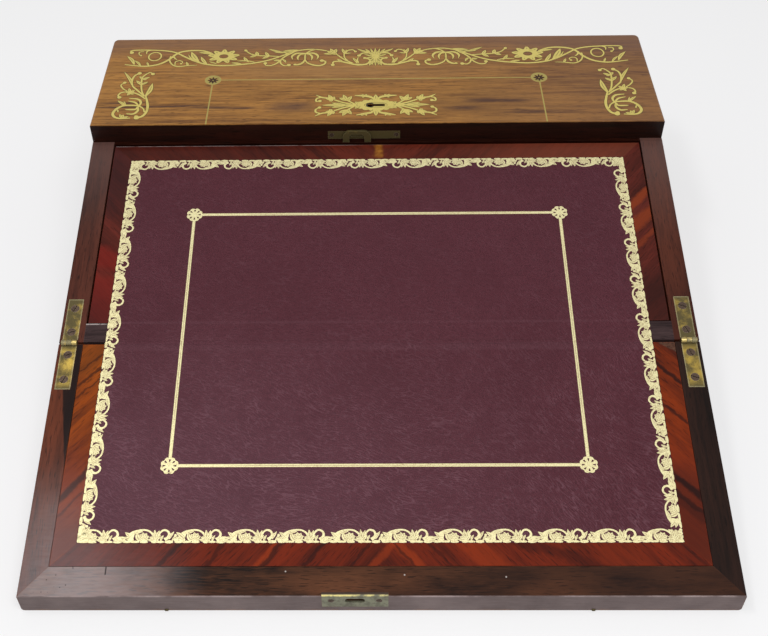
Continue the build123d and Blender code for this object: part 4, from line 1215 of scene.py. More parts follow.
def daisy(art, centre, petals, wide, high):
    """A flower with blunt petals round an open eye."""
    centre = Vector(centre)
    for petal in range(petals):
        angle = 2 * pi * (petal + 0.25) / petals
        way = Vector((cos(angle), sin(angle)))
        inner = centre + Vector((way.x * 4.2, way.y * 3.2))
        outer = centre + Vector((way.x * wide, way.y * high))
        art.stem([inner, (inner + outer) / 2, outer], (3.6, 5.0, 1.8), vein=True)
    art.ring(centre, (7.6, 6.4), (3.4, 2.7))


def star_drawing():
    """The dark eight pointed stars let into the rings at the corners of the brass line."""
    art = Drawing()
    for hand in (-1, 1):
        centre = Vector((hand * STRING_X, 215.5))
        for ray in range(8):
            way = Vector((cos(pi * ray / 4), sin(pi * ray / 4)))
            art.stem([centre + way * 0.5, centre + way * 2.4, centre + way * 3.9],
                     (0.5, 1.5, 0.5))
    return art


def spray_drawing():
    """The rising spray at the left corner of the panel, and its mirror image. Y from the fold."""
    art = Drawing(weight=0.88)
    art.curl([(-165.4, 197), (-163.4, 190), (-162, 183), (-162.2, 176.6), (-164.4, 171.6),
              (-168, 170)], (1.4, 2.2, 2.4), 2.1)
    art.ball((-168.6, 171.6), 1.4)
    art.leaf((-165.4, 196), (-162.4, 212.6), 4.2, -0.8)
    art.stem([(-163.4, 176.6), (-165, 181), (-168.6, 184.4)], (1.4, 1.4, 1.8))
    art.stem([(-168.4, 183), (-167.6, 188.4), (-170.4, 192.6), (-176.8, 193.8)], (1.2, 2.2, 1.0))
    art.stem([(-168.6, 184), (-171.6, 188.4), (-177, 190.4)], (1.4, 1.9, 0.8))
    art.stem([(-169, 184.4), (-174, 185), (-179.6, 184.6), (-184, 180.6), (-185.6, 175),
              (-183.4, 170.8), (-179, 169.2), (-172.6, 169.6)], (1.6, 2.4, 1.2))
    art.stem([(-169.4, 183), (-170.6, 180), (-177.4, 180)], (1.0, 2.0, 1.0))
    art.stem([(-169, 183.6), (-168.4, 178.4), (-171, 174.6), (-176, 174.8)], (1.0, 2.2, 1.0))
    art.leaves((-178.4, 169.6), [(-180.6, 174.4), (-177.8, 173.8), (-174, 171.6)], 2.6)
    art.leaf((-179, 184.4), (-184.8, 191), 2.6, -0.6)
    art.leaf((-178, 184.6), (-180, 190.2), 1.8)
    art.leaf((-183, 180), (-182, 176.4), 1.6)
    art.stem([(-165.2, 193), (-169.6, 197.6), (-174, 200.4), (-178, 201.6)], (1.4, 1.7, 1.4))
    art.leaves((-177, 201), [(-178.8, 206.6), (-174, 204), (-181, 202), (-178.8, 197.4),
                             (-174.4, 198.4)], 2.8)
    art.ball((-177, 201), 1.8)
    art.curl([(-179.4, 202.6), (-183, 206), (-185.2, 210.4), (-183, 213.6)], (1.1, 1.4, 1.1), 1.4)
    art.curl([(-180, 202), (-183.8, 200.6), (-185.2, 197.4), (-184, 195)], (1.1, 1.6, 1.4), 1.6)
    art.stem([(-166, 196), (-170.6, 201.6), (-176.6, 209)], (1.4, 1.6, 1.8))
    art.leaf((-176, 208), (-185.4, 227.8), 2.8, -0.8)
    art.curl([(-177, 210), (-178, 217), (-176.8, 222.6), (-173.8, 225.6)], (1.4, 1.8, 1.4), 1.7)
    art.stem([(-166.6, 197), (-169, 203), (-170.4, 211), (-171, 219), (-169.6, 223),
              (-166.4, 226.4), (-163.8, 225)], (1.3, 1.6, 1.2))
    art.ball((-163.8, 224.6), 1.5)
    art.leaves((-170.6, 210.6), [(-174.8, 216.4), (-172.4, 215), (-166, 214.6)], 2.8)
    art.leaves((-170.2, 218), [(-173.2, 221.6), (-165.4, 220.6), (-167.4, 217.4)], 2.8)
    art.mirrored()
    return art


def escutcheon_drawing():
    """The leafy spray round the keyhole plate, from the keyhole's middle."""
    art = Drawing()
    art.ring((0, 0), (13.6, 6.0), (8.2, 3.4), lobes=16, depth=1.2, count=96)
    ends = Drawing()
    ends.leaf((11, 0), (16.4, 0), 5.0)
    ends.leaf((11.5, 0.8), (14.8, 4.2), 2.6)
    ends.leaf((11.5, -0.8), (14.8, -4.2), 2.6)
    ends.stem([(1, 6.4), (3.4, 9.6), (8, 11.2), (15, 11.8)], (1.6, 2.4, 0.8))
    ends.leaves((8, 11), [(6.2, 13.4), (10, 13.4), (9.6, 9)], 1.8)
    ends.stem([(1, -6.2), (3.6, -9.2), (8, -10.4), (13.8, -12)], (1.6, 2.2, 0.8))
    ends.leaves((7.6, -10), [(6.4, -13), (10.4, -13)], 1.8)
    ends.stem([(14, 0), (21, 0), (28, 0)], (2.6, 1.8, 3.0))
    ends.leaf((20.6, 0), (31.6, 3), 2.6)
    ends.leaf((20.6, 0), (31.6, -3), 2.6)
    ends.leaf((22, 0), (38.4, 0.2), 3.0)
    for side, curl_end in ((1, 5.4), (-1, 2.6)):
        ends.stem([(14.6, side * 0.8), (17, side * 3), (20.4, side * 6)], (1.6, 1.4, 1.4))
        ends.leaves((20.4, side * 5.6), [(17, side * 11), (23.4, side * 13),
                                         (26.2, side * 9.2), (18, side * 7.4)], 3.2)
        ends.ball((21.2, side * 8), 2.0)
        ends.stem([(15.4, side * 0.6), (23, side * 3.2), (29.6, side * 6.8)], (2.0, 1.6, 1.4))
        ends.leaves((30.6, side * 7), [(34, side * 13), (29.6, side * 10.6),
                                       (35.8, side * 8.4), (33, side * 5)], 3.0)
        ends.ball((32, side * 8.2), 2.0)
        ends.stem([(33.6, side * 9), (38, side * 9.6), (42.8, side * 12.8)], (1.4, 1.6, 0.5))
        ends.curl([(38.6, side * 9.8), (42, side * 8.4), (42.4, side * 5), (39.8, side * curl_end)],
                  (1.0, 1.5, 1.1), 1.4)
    ends.mirrored()
    art.shapes += ends.shapes
    for side in (-1, 1):
        art.leaf((0, side * 5.4), (0, side * 13), 3.4)
    return art


def escutcheon_brass():
    """The keyhole plate: inlay brass with painted shade round the keyhole, so that the dark hole
    reads larger.
    """
    clean = bpy.context.scene.slope_metal.inlay[:]
    finish = Finish("escutcheon_brass")
    low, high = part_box("keyhole_escutcheon")
    x = finish.along(ACROSS)
    y = finish.along(BACKWARD, (low + high) / 2)
    slot = finish.vectors("LENGTH", finish.join(
        finish.maths("MAXIMUM", abs(x - 0.0004) - 0.0047, 0.0), y, 0.0), output=1)
    bow = finish.vectors("LENGTH", finish.join(x + 0.0040, y, 0.0), output=1)
    # painted shade round the keyhole: a dark ring standing in for a larger dark hole
    rim = 1 - finish.step(slot, 0.0013, 0.0018) * finish.step(bow, 0.0028, 0.0033)
    cloud = finish.noise(finish.place(), 300.0, 4.0, 0.6)
    colour = finish.mix(finish.step(cloud, 0.45, 0.7) * 0.4, clean, tuple(a * 0.6 for a in clean))
    colour = finish.mix(rim * 0.95, colour, linear(18, 14, 8))
    return finish.surface(base_color=colour, metallic=0.6 - rim * 0.5, roughness=0.42 + rim * 0.3,
                          normal=finish.bump(cloud - rim, 0.05 * MM, 0.4))


class SLOPE_OT_inlay(bpy.types.Operator):
    """Lay the brass inlay into the panel: border, corner sprays, escutcheon spray and strings"""
    bl_idname = "slope.inlay"
    bl_label = "Brass inlay"

    def execute(self, context):
        metal = context.scene.slope_metal
        brass = inlay_brass()
        paint(brass, "pen_lid_string_inlay", "lid_string_inlay")
        paint(escutcheon_brass(), "keyhole_escutcheon")
        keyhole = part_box("keyhole_escutcheon")
        keyhole_y = (keyhole[0].y + keyhole[1].y) / 2

        def from_fold(x, y, lift):
            return Vector((x * MM, FOLD.y + y * MM, PANEL_TOP + lift))

        def from_keyhole(x, y, lift):
            return Vector((x * MM, keyhole_y + y * MM, PANEL_TOP + lift))

        designs = {
            "inlay_border": (border_drawing(), from_fold),
            "inlay_corner_sprays": (spray_drawing(), from_fold),
            "inlay_escutcheon_spray": (escutcheon_drawing(), from_keyhole),
        }
        filler = dark_filler()
        for name, (drawing, place) in designs.items():
            piece = raise_drawing(name, drawing, place, metal.inlay_lift, 0.12 * MM, brass)
            bed = raise_drawing(name + "_mastic", drawing, place, 0.012 * MM, 0.05 * MM, filler,
                                rim=metal.mastic_rim / MM)
            for part, slot in ((piece, "brass"), (bed, "dark_rosewood")):
                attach(part, "pen_lid")
        stars = raise_drawing("ring_stars", star_drawing(), from_fold, 0.015 * MM, 0.05 * MM,
                              filler)
        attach(stars, "pen_lid")
        return {"FINISHED"}


# ---- leather ----

FRONT_SKIN = slope_span("front_flap_leather")
RAIL_SKIN = slope_span("cross_rail_leather")
REAR_SKIN = slope_span("rear_flap_leather")
SKIN_TOP = REAR_SKIN[2][1]
SKIN_UNDER = REAR_SKIN[2][0]
SKIN_FRONT = FRONT_SKIN[1][0]
SKIN_BACK = REAR_SKIN[1][1]
SKIN_HALF = REAR_SKIN[0][1]
CREASE_FRONT = FRONT_SKIN[1][1]
CREASE_BACK = RAIL_SKIN[1][0]
REAR_CREASE = REAR_SKIN[1][0]


def hump(run, middle, half):
    """1 at a run, falling away to 0 on both sides of it."""
    return 2.718 ** (-(((run - middle) / half) ** 2))


def skin_height(x, run):
    """How far the skin's face stands above its bed, with the two creases and slight waves."""
    wave = noise.noise(Vector((x * 14, run * 22, 0.3))) * 0.05 * MM
    roll = 0.10 * MM * hump(run, -0.0040, 0.0022)
    valley = -0.10 * MM * hump(run, 0.0002, 0.0012)
    ridge = 0.06 * MM * hump(run, REAR_CREASE, 0.0009)
    return SKIN_TOP + wave * 0.6 + roll + valley + ridge


def skin_colour():
    """Dyed goatskin with a fine grain and long slanting wrinkles, with painted highlights on the
    wrinkles and creases and a painted sheen toward the front left.
    """
    leather = bpy.context.scene.slope_leather
    finish = Finish("burgundy_leather")
    place = finish.place()
    run = finish.run()
    x = finish.along(ACROSS)
    flat = finish.join(x, run, 0.0)
    clouds = finish.noise(flat, 16.0, 4.0, 0.6)
    flow = (finish.noise(flat, 9.0, 2.0) - 0.5) * 0.05

    def net(degrees, seed):
        """Fine wrinkles in long cells that run down to the right at an angle."""
        turn = radians(degrees)
        length = x * cos(turn) - run * sin(turn)
        wide = x * sin(turn) + run * cos(turn) + flow
        jitter = finish.noise(finish.join(length, wide, seed), 300.0, 3.0, 0.6) - 0.5
        cell = finish.cells(finish.join(length * 0.17, wide + jitter * 0.0016, seed), 760.0,
                            "DISTANCE_TO_EDGE")
        return finish.below(cell, 0.0, 0.12)

    steep = finish.step(x + (clouds - 0.5) * 0.12, 0.0, 0.13)
    low = finish.below(run + (clouds - 0.5) * 0.10, -0.13, 0.05)
    window_side = finish.below(x, -0.16, 0.16)
    shallow_net = net(20, 0.0)
    wrinkle = shallow_net + (net(48, 4.0) - shallow_net) * steep
    pebble = finish.cells(place, 1150.0, "DISTANCE_TO_EDGE")
    grain = finish.step(pebble, 0.0, 0.24)
    colour = finish.mix(grain, leather.dye_dark[:], leather.dye[:])
    colour = finish.mix(finish.step(clouds, 0.35, 0.7) * 0.3, colour, leather.dye_dark[:])
    patches = finish.noise(flat, 70.0, 4.0, 0.75)
    patchy = finish.step(patches, 0.25, 0.75)
    # painted highlights on the wrinkles, stronger toward the front
    colour = finish.mix(wrinkle * (0.10 + low * 0.22) * patchy, colour, linear(150, 108, 120))
    # painted sheen over the front left of the skin
    colour = finish.mix(low * window_side * 0.10, colour, linear(158, 124, 140))
    # painted highlight along both creases, carried by the worn mask below
    creases = finish.below(abs(run + 0.0030), 0.0012, 0.0040) * 0.2
    rear = finish.below(abs(run - REAR_CREASE), 0.0004, 0.0014) * 0.2
    worn = finish.maths("MAXIMUM", creases, rear) * finish.step(clouds + grain * 0.2, 0.3, 0.75)
    colour = finish.mix(worn * 0.5, colour, linear(124, 88, 98))
    height = grain * 0.45 - wrinkle * 0.5
    return finish.surface(
        base_color=colour,
        roughness=0.50 + clouds * 0.12 - worn * 0.05,
        normal=finish.bump(height, 0.06 * MM, 0.7),
        specular_ior_level=0.16,
    )


def skin_piece(name, rows, material):
    """A slab of leather over a row of runs, with its face on the skin's height."""
    columns = 60
    shape_mesh = bmesh.new()
    edge = 0.25 * MM
    half = SKIN_HALF
    xs = [-half, -half + edge]
    xs += [-half + 2 * half * k / columns for k in range(1, columns)]
    xs += [half - edge, half]
    grid = []
    for run in rows:
        line = []
        for x in xs:
            drop = 0.12 * MM if abs(x) >= half - 1e-9 else 0.0
            line.append(shape_mesh.verts.new(on_slope(x, run, skin_height(x, run) - drop)))
        grid.append(line)
    under = [[shape_mesh.verts.new(on_slope(x, run, SKIN_UNDER)) for x in xs] for run in rows]
    for layer, turned in ((grid, False), (under, True)):
        for a, b in zip(layer, layer[1:]):
            for k in range(len(xs) - 1):
                corner = (a[k], a[k + 1], b[k + 1], b[k])
                shape_mesh.faces.new(corner[::-1] if turned else corner)
    for k in range(len(xs) - 1):
        shape_mesh.faces.new((grid[0][k + 1], grid[0][k], under[0][k], under[0][k + 1]))
        shape_mesh.faces.new((grid[-1][k], grid[-1][k + 1], under[-1][k + 1], under[-1][k]))
    for r in range(len(rows) - 1):
        shape_mesh.faces.new((grid[r][0], grid[r + 1][0], under[r + 1][0], under[r][0]))
        shape_mesh.faces.new((grid[r + 1][-1], grid[r][-1], under[r][-1], under[r + 1][-1]))
    bmesh.ops.recalc_face_normals(shape_mesh, faces=shape_mesh.faces)
    piece = finished_piece(name, shape_mesh, material, shaded_smooth=True)
    return piece


def spread_rows(low, high, fine_at, fine=0.0006, coarse=0.006, reach=0.006):
    """Runs from low to high, close together near the places that bend."""
    rows = [low]
    while rows[-1] < high - fine:
        near = min(abs(rows[-1] - place) for place in fine_at)
        rows.append(min(rows[-1] + min(coarse, max(fine, near - reach)), high))
    rows[-1] = high
    return rows


class SLOPE_OT_leather(bpy.types.Operator):
    """Lay the leather over both flaps and the fold"""
    bl_idname = "slope.leather"
    bl_label = "Leather"

    def execute(self, context):
        material = skin_colour()
        paint(material, "front_flap_leather", "cross_rail_leather", "rear_flap_leather")
        front_rows = spread_rows(SKIN_FRONT, CREASE_FRONT, [CREASE_FRONT])
        front = skin_piece("leather_front", front_rows, material)
        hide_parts("front_flap_leather")
        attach(front, "front_flap")

        crease_rows = spread_rows(CREASE_FRONT, CREASE_BACK, [0.0], fine=0.0002)
        crease = skin_piece("leather_crease", crease_rows, material)
        on_slope(0, CREASE_FRONT)
        on_slope(0, CREASE_BACK)
        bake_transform(crease)

        rear_rows = spread_rows(CREASE_BACK, SKIN_BACK, [CREASE_BACK, REAR_CREASE], fine=0.0004)
        rear = skin_piece("leather_rear", rear_rows, material)
        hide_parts("cross_rail_leather", "rear_flap_leather")
        on_slope(0, REAR_CREASE - REAR_BEND)
        on_slope(0, REAR_CREASE + REAR_BEND)
        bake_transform(rear)

        width = 2 * SKIN_HALF
        CREASE_FRONT - SKIN_FRONT
        SKIN_BACK - CREASE_BACK
        return {"FINISHED"}


# ---- gold tooling ----

def gold_leaf():
    """Gold leaf pressed into the leather, thin in places, with creases down the leaves, and painted
    shade in the creases and round each shape's outline.
    """
    metal = bpy.context.scene.slope_metal
    finish = Finish("gold_leaf")
    along, across = shape_lines(finish)
    length = finish.step(along, 0.1, 0.2) * finish.below(along, 0.8, 0.95)
    vein = finish.below(abs(across - 0.5), 0.05, 0.12) * length
    cloud = finish.noise(finish.place(), 620.0, 4.0, 0.65)
    dents = finish.noise(finish.place(), 1500.0, 2.0, 0.6)
    thin = finish.step(cloud, 0.56, 0.72)
    dull = finish.step(dents, 0.46, 0.62)
    # painted shade: the veins and the outlines of the shapes are darkened as if in the shadow of the
    # tooled relief
    outline = finish.step(abs(across - 0.5), 0.36, 0.44)
    shade = finish.maths("MAXIMUM", vein * 0.65, outline * 0.55)
    colour = finish.mix(thin * 0.5, metal.gold[:], linear(150, 114, 80))
    colour = finish.mix(dull * 0.4, colour, linear(166, 142, 92))
    colour = finish.mix(shade, colour, linear(112, 78, 60))
    return finish.surface(
        base_color=colour,
        metallic=0.55 - thin * 0.2,
        roughness=0.46 + thin * 0.2,
        normal=finish.bump(cloud * 0.5 + dents * 0.5 - shade, 0.05 * MM, 0.8),
    )


def tooling_unit(with_bud):
    """Half a repeat of the border: s along it, and t from the skin's edge inwards.

    One half ends in a bud with two holes, the other in a low leaf beside a notch.
    """
    unit = Drawing(step=0.9)
    # the pointed leaf before the arch, and the leaves at its foot
    unit.leaf((0.2, 1.4), (-5.0, 6.5), 2.7, -0.4)
    unit.leaf((-0.4, 1.2), (-5.2, 3.7), 2.0, -0.2)
    unit.stem([(-1.9, 0.8), (-0.8, 3.4), (0.3, 6.0)], (2.2, 2.0, 0.8))
    # the arch
    unit.stem([(-2.6, 4.6), (-0.4, 6.4), (3.2, 7.6), (6.8, 7.7), (9.4, 6.7), (11.2, 4.8),
               (11.9, 3.0)], (1.8, 0.95, 1.2))
    # the rose under it
    unit.ball((5.9, 3.1), 2.6)
    unit.leaf((3.6, 1.0), (1.7, 6.3), 2.7, 0.2)
    unit.leaves((5.9, 3.1), [(3.4, 5.3), (5.2, 6.4), (7.6, 5.9), (9.0, 4.0), (8.7, 1.7),
                             (3.1, 1.9)], 2.3)
    unit.leaf((-0.6, 5.4), (5.2, 7.0), 1.7, 0.2)
    # spiky leaves
    unit.ball((12.7, 2.3), 1.8)
    unit.leaves((12.7, 1.7), [(11.8, 8.0), (14.5, 7.6), (10.6, 5.0), (15.6, 4.7), (8.2, 2.0),
                              (14.9, 0.5)], 2.1)
    unit.leaf((12.4, 2.6), (9.0, 3.6), 1.7)
    # the curl
    unit.stem([(14.5, 3.2), (15.0, 6.0), (16.9, 7.7), (19.2, 7.1), (20.2, 5.2), (19.6, 3.3),
               (17.9, 2.0)], (0.7, 1.15, 2.2))
    unit.leaf((15.6, 1.2), (17.2, 4.7), 1.5, 0.3)
    # the foot of the border, in short swelling lengths with notches between
    for low, high, fat in ((-5.4, -1.2, 1.5), (-0.9, 3.6, 1.3), (4.0, 8.6, 1.6), (10.5, 13.6, 1.7),
                           (13.9, 17.8, 1.4), (18.1, 22.9, 1.9)):
        unit.stem([(low, 0.55), ((low + high) / 2, 0.8), (high, 0.6)], (0.6, fat, 0.6))
    if with_bud:
        unit.ball((21.4, 4.9), 1.0)
        unit.leaf((20.4, 2.4), (22.9, 6.9), 1.6, 0.2)
        unit.leaf((22.0, 1.2), (24.0, 4.8), 1.5, -0.2)
        unit.ball((23.9, 4.6), 0.8)
        unit.ball((24.6, 1.8), 1.3)
    else:
        unit.leaf((18.8, 1.7), (25.6, 2.7), 3.2, 0.3)
        unit.leaf((20.2, 1.2), (26.2, 1.3), 1.6)
        unit.ball((21.4, 2.6), 1.3)
    return unit


def tooling_corner(width):
    """The filled square where two borders meet."""
    art = Drawing(step=0.8)
    middle = width / 2
    art.leaves((middle, middle), [(0.4, 0.4), (width - 0.2, width - 0.2), (0.4, width - 0.6),
                                  (width - 0.6, 0.4)], 3.0)
    art.leaves((middle, middle), [(middle, 0.1), (middle, width - 0.4), (0.1, middle),
                                  (width - 0.4, middle)], 2.6)
    art.ball((middle, middle), 2.0)
    for along, away, radius in ((1.3, 1.3, 1.1), (3.4, 1.2, 1.0), (5.6, 1.3, 1.1), (7.6, 1.1, 0.9)):
        art.ball((along, away), radius)
        art.ball((away, along), radius)
    return art


def rosette(art, centre, radius):
    """Eight petals, each a loop of gold round a dark drop."""
    centre = Vector(centre)
    art.ring(centre, (radius * 0.86, radius * 0.86), (radius * 0.76, radius * 0.76), lobes=8,
             depth=radius * 0.15, count=64)
    for spoke in range(8):
        angle = pi * (2 * spoke + 1) / 8
        way = Vector((cos(angle), sin(angle)))
        art.stem([centre + way * radius * 0.2, centre + way * radius * 0.55,
                  centre + way * radius * 0.82], (1.5, 1.5, 2.3))
    art.ball(centre, radius * 0.42)


def tooling_drawing(leather):
    """The border round the skin and the rule with its rosettes, by X and run."""
    art = Drawing(step=0.8)
    half = SKIN_HALF / MM
    front, back = SKIN_FRONT / MM, SKIN_BACK / MM
    band = leather.border_width / MM
    half_repeat = leather.border_repeat / MM / 2
    ways = {"x": Vector((1, 0)), "-x": Vector((-1, 0)), "y": Vector((0, 1)), "-y": Vector((0, -1))}
    inset = 0.15
    # each side: where it starts, which way it runs, its length, the first unit and its kind
    sides = (
        (Vector((-half, front + inset)), "x", "y", 2 * half, 2.8, 0),
        (Vector((half - inset, front)), "y", "-x", back - front, 14.1, 0),
        (Vector((half, back - inset)), "-x", "-y", 2 * half, -6.9, 1),
        (Vector((-half + inset, back)), "-y", "x", back - front, 12.0, 1),
    )
    units = (tooling_unit(False), tooling_unit(True))
    corner = tooling_corner(band)
    for origin, s_way, t_way, length, first, kind in sides:
        along = first
        while along < length:
            unit = units[kind].trimmed(-along + 0.1, length - along - 0.1)
            art.placed(unit, origin + ways[s_way] * along, ways[s_way], ways[t_way])
            along += half_repeat
            kind = 1 - kind
        art.placed(corner, origin, ways[s_way], ways[t_way])
    rule_x = leather.rule_x / MM
    rule_front, rule_rear = leather.rule_front / MM, leather.rule_rear / MM
    radius = leather.rosette / MM
    rule_width = (2.1, 2.1, 2.1)
    for run in (rule_front, rule_rear):
        art.stem([(-rule_x + radius * 0.8, run), (0, run), (rule_x - radius * 0.8, run)],
                 rule_width, vein=True)
    for x in (-rule_x, rule_x):
        art.stem([(x, rule_front + radius * 0.8), (x, 0), (x, rule_rear - radius * 0.8)],
                 rule_width, vein=True)
    for side in (-1, 1):
        for run in (rule_front, rule_rear):
            rosette(art, (side * rule_x, run), radius)
    return art


def cut_to_runs(piece, low, high, bends=()):
    """Cuts a piece of tooling off at two runs, and adds edges where it has to bend."""
    mesh = bmesh.new()
    mesh.from_mesh(piece.data)
    for run, side in ((low, -1), (high, 1)):
        bmesh.ops.bisect_plane(mesh, geom=mesh.verts[:] + mesh.edges[:] + mesh.faces[:],
                               plane_co=on_slope(0, run), plane_no=UPHILL * side,
                               clear_outer=True)
    open_edges = [edge for edge in mesh.edges if edge.is_boundary]
    bmesh.ops.holes_fill(mesh, edges=open_edges, sides=0)
    for run in bends:
        bmesh.ops.bisect_plane(mesh, geom=mesh.verts[:] + mesh.edges[:] + mesh.faces[:],
                               plane_co=on_slope(0, run), plane_no=UPHILL)
    mesh.to_mesh(piece.data)
    mesh.free()


class SLOPE_OT_tooling(bpy.types.Operator):
    """Tool the leather in gold"""
    bl_idname = "slope.tooling"
    bl_label = "Gold tooling"

    def execute(self, context):
        leather = context.scene.slope_leather
        drawing = tooling_drawing(leather)
        gold = gold_leaf()

        def on_skin(x, run, lift):
            return on_slope(x * MM, run * MM, skin_height(x * MM, run * MM) + lift)

        parts = {
            "gold_front": (SKIN_FRONT - 1 * MM, CREASE_FRONT, ()),
            "gold_crease": (CREASE_FRONT, CREASE_BACK, [k * 0.3 * MM for k in range(-3, 4)]),
            "gold_rear": (CREASE_BACK, SKIN_BACK + 1 * MM,
                          [REAR_CREASE + k * REAR_BEND / 4 for k in range(-4, 5)]),
        }
        for name, (low, high, bends) in parts.items():
            piece = raise_drawing(name, drawing, on_skin, 0.02 * MM, 0.06 * MM, gold)
            cut_to_runs(piece, low, high, bends)
        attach(bpy.data.objects["gold_front"], "front_flap")
        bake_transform(bpy.data.objects["gold_crease"], "writing_lid", "root",
                 start=on_slope(0, CREASE_FRONT), end=on_slope(0, CREASE_BACK))
        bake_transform(bpy.data.objects["gold_rear"], "root", "rear_flap",
                 start=on_slope(0, REAR_CREASE - REAR_BEND),
                 end=on_slope(0, REAR_CREASE + REAR_BEND))
        return {"FINISHED"}


# ---- string ends and ink ----

class SLOPE_OT_string_ends(bpy.types.Operator):
    """Turn up the ends of the brass strings under the lip, where they stand a little proud"""
    bl_idname = "slope.string_ends"
    bl_label = "String ends"

    def execute(self, context):
        dark = fitting_brass("string_end_brass", 0.1, 2.0)
        for hand, x in (("left", -STRING_X), ("right", STRING_X)):
            shape_mesh = bmesh.new()
            outline = [(0.2, 0.1), (-0.55, 0.15), (-0.9, 0.7), (-0.6, 1.35), (0.2, 1.6)]
            rings = []
            for offset, share in ((-1.1, 0.5), (-0.7, 1.0), (0.7, 1.0), (1.1, 0.5)):
                rings.append([shape_mesh.verts.new(((x + offset) * MM, LIP + out * share * MM,
                                                    (0.85 + (up - 0.85) * share) * MM))
                              for out, up in outline])
            piece = close_rings(f"{hand}_string_end", shape_mesh, rings, dark)
            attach(piece, "writing_lid")
        return {"FINISHED"}


class SLOPE_OT_ink(bpy.types.Operator):
    """Finish the glass bottles and fill them with ink"""
    bl_idname = "slope.ink"
    bl_label = "Ink bottles"

    def execute(self, context):
        glass = Finish("bottle_glass")
        haze = glass.noise(glass.place(), 120.0, 3.0)
        clear = glass.surface(base_color=linear(236, 244, 242), roughness=0.03 + haze * 0.06,
                              transmission_weight=1.0, ior=1.5)
        paint(clear, "left_ink_bottle", "right_ink_bottle")
        black = Finish("iron_gall_ink")
        swirl = black.noise(black.place(), 60.0, 2.0)
        ink = black.surface(base_color=black.ramp(swirl, (0.3, linear(8, 8, 22)),
                                                  (0.7, linear(18, 16, 40))),
                            roughness=0.08 + swirl * 0.05)
        for hand in ("left", "right"):
            low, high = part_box(f"{hand}_ink_bottle")
            centre = (low + high) / 2
            piece = ink_fill(f"{hand}_ink", centre, low.z + INK_FLOOR, INK_HALF, INK_DEPTH, ink)
            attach(piece, "root")
        return {"FINISHED"}


def ink_fill(name, centre, bottom, half, depth, material):
    """A rounded square of ink with a raised rim where it meets the glass."""
    shape_mesh = bmesh.new()
    rim = []
    corner = 3.8 * MM
    for quarter in range(4):
        for part in range(5):
            angle = pi / 2 * (quarter + part / 4)
            middle = Vector((half - corner, half - corner))
            middle.x *= 1 if quarter in (0, 3) else -1
            middle.y *= 1 if quarter in (0, 1) else -1
            rim.append(middle + Vector((cos(angle), sin(angle))) * corner)
    rings = []
    for z, share in ((0, 1.0), (depth, 1.0), (depth - 0.4 * MM, 0.95), (depth - 0.5 * MM, 0.5)):
        rings.append([shape_mesh.verts.new((centre.x + p.x * share, centre.y + p.y * share,
                                            bottom + z)) for p in rim])
    return close_rings(name, shape_mesh, rings, material)


# ---- stage ----

def sweep_material(colour):
    """A pale floor: mostly its own colour to the camera, so that it stays pale, with shadow."""
    finish = Finish("stage_floor")
    far = finish.step(finish.vectors("LENGTH", finish.place(), output=1), 0.7, 2.4)
    diffuse = finish.node("ShaderNodeBsdfDiffuse", None, {"Color": colour})
    glow = finish.node("ShaderNodeEmission", None, {"Color": colour, "Strength": 1.0})
    share = finish.seen() * (0.5 + far * 0.5)
    mixed = finish.node("ShaderNodeMixShader", None, {0: share, 1: diffuse, 2: glow})
    finish.node("ShaderNodeOutputMaterial", None, {"Surface": mixed})
    return finish.material


def add_lamp(name, place, target, size, power):
    """A soft rectangular lamp that faces a target."""
    data = bpy.data.lights.new(name, "AREA")
    data.shape = "RECTANGLE"
    data.size, data.size_y = size
    data.energy = power
    lamp = bpy.data.objects.new(name, data)
    lamp.location = place
    lamp.rotation_mode = "QUATERNION"
    way = Vector(target) - Vector(place)
    lamp.rotation_quaternion = way.to_track_quat("-Z", "Y")
    bpy.context.scene.collection.objects.link(lamp)


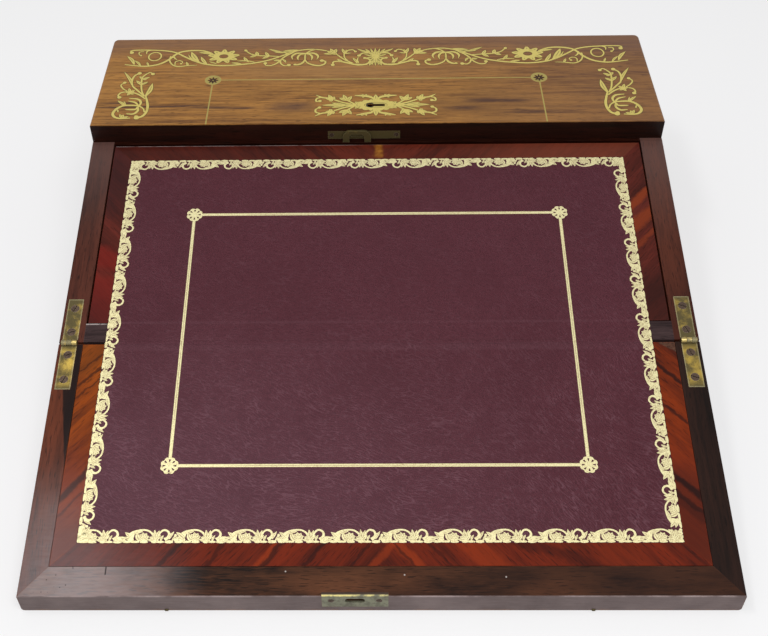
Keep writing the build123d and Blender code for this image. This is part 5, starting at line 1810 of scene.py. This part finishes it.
class SLOPE_OT_stage(bpy.types.Operator):
    """Set the floor, the lamps, the room's light and the camera"""
    bl_idname = "slope.stage"
    bl_label = "Stage"

    def execute(self, context):
        scene = context.scene
        stage = scene.slope_stage
        scene.view_settings.view_transform = "Standard"
        self.floor(stage)
        self.room(scene, stage)
        add_lamp("window_lamp", (-0.60, -0.10, 1.5), (0, 0, 0), (0.5, 0.2), stage.window)
        add_lamp("overhead_lamp", (0.2, -0.75, 1.6), (0, 0, 0), (1.2, 0.8), stage.overhead)
        self.camera(scene, stage)
        return {"FINISHED"}

    def floor(self, stage):
        shape_mesh = bmesh.new()
        rim = [shape_mesh.verts.new((4 * cos(2 * pi * k / 48), 4 * sin(2 * pi * k / 48),
                                     -0.05 * MM)) for k in range(48)]
        shape_mesh.faces.new(rim)
        floor = finished_piece("floor", shape_mesh, sweep_material(stage.floor[:]))

    def room(self, scene, stage):
        scene.world = bpy.data.worlds.new("room")
        room = Finish("room", scene.world)
        light = room.node("ShaderNodeBackground", None,
                          {"Color": (1.0, 0.99, 0.98), "Strength": stage.ambient})
        wall = room.node("ShaderNodeBackground", None, {"Color": stage.floor[:], "Strength": 1.0})
        mixed = room.node("ShaderNodeMixShader", None, {0: room.seen(), 1: light, 2: wall})
        room.node("ShaderNodeOutputWorld", None, {"Surface": mixed})

    def camera(self, scene, stage):
        data = bpy.data.cameras.new("camera")
        data.lens = stage.lens
        data.shift_x, data.shift_y = stage.shift
        data.clip_start = 0.01
        camera = bpy.data.objects.new("camera", data)
        down = stage.pitch
        tilt = Matrix(((1, 0, 0), (0, -sin(down), -cos(down)), (0, cos(down), -sin(down))))
        rows = Matrix.Rotation(stage.roll, 3, "Z") @ tilt @ Matrix.Rotation(stage.yaw, 3, "Z")
        turned = Matrix((rows[0], -rows[1], -rows[2])).transposed()
        camera.matrix_world = Matrix.Translation(stage.camera_at) @ turned.to_4x4()
        scene.collection.objects.link(camera)
        scene.camera = camera


# ---- panel and registration ----

OPERATORS = (
    SLOPE_OT_stage,
    SLOPE_OT_case_wood,
    SLOPE_OT_panel_wood,
    SLOPE_OT_banding,
    SLOPE_OT_inside_wood,
    SLOPE_OT_fittings,
    SLOPE_OT_inlay,
    SLOPE_OT_leather,
    SLOPE_OT_tooling,
    SLOPE_OT_string_ends,
    SLOPE_OT_ink,
)

GROUPS = {
    "slope_timber": SlopeTimber,
    "slope_metal": SlopeMetal,
    "slope_leather": SlopeLeather,
    "slope_stage": SlopeStage,
}


class SLOPE_PT_workshop(bpy.types.Panel):
    """Every piece of the writing slope"""
    bl_idname = "SLOPE_PT_workshop"
    bl_label = "Writing slope"
    bl_space_type = "VIEW_3D"
    bl_region_type = "UI"
    bl_category = "Slope"

    def draw(self, context):
        for operator in OPERATORS:
            self.layout.operator(operator.bl_idname)
        for group in GROUPS:
            settings = getattr(context.scene, group)
            box = self.layout.box()
            for name in settings.__annotations__:
                box.prop(settings, name)


def register():
    for name, group in GROUPS.items():
        bpy.utils.register_class(group)
        setattr(bpy.types.Scene, name, PointerProperty(type=group))
    for operator in OPERATORS:
        bpy.utils.register_class(operator)
    bpy.utils.register_class(SLOPE_PT_workshop)


def unregister():
    bpy.utils.unregister_class(SLOPE_PT_workshop)
    for operator in reversed(OPERATORS):
        bpy.utils.unregister_class(operator)
    for name, group in GROUPS.items():
        delattr(bpy.types.Scene, name)
        bpy.utils.unregister_class(group)


def main():
    register()
    for operator in OPERATORS:
        family, action = operator.bl_idname.split(".")
        getattr(getattr(bpy.ops, family), action)()


if __name__ == "__main__":
    main()
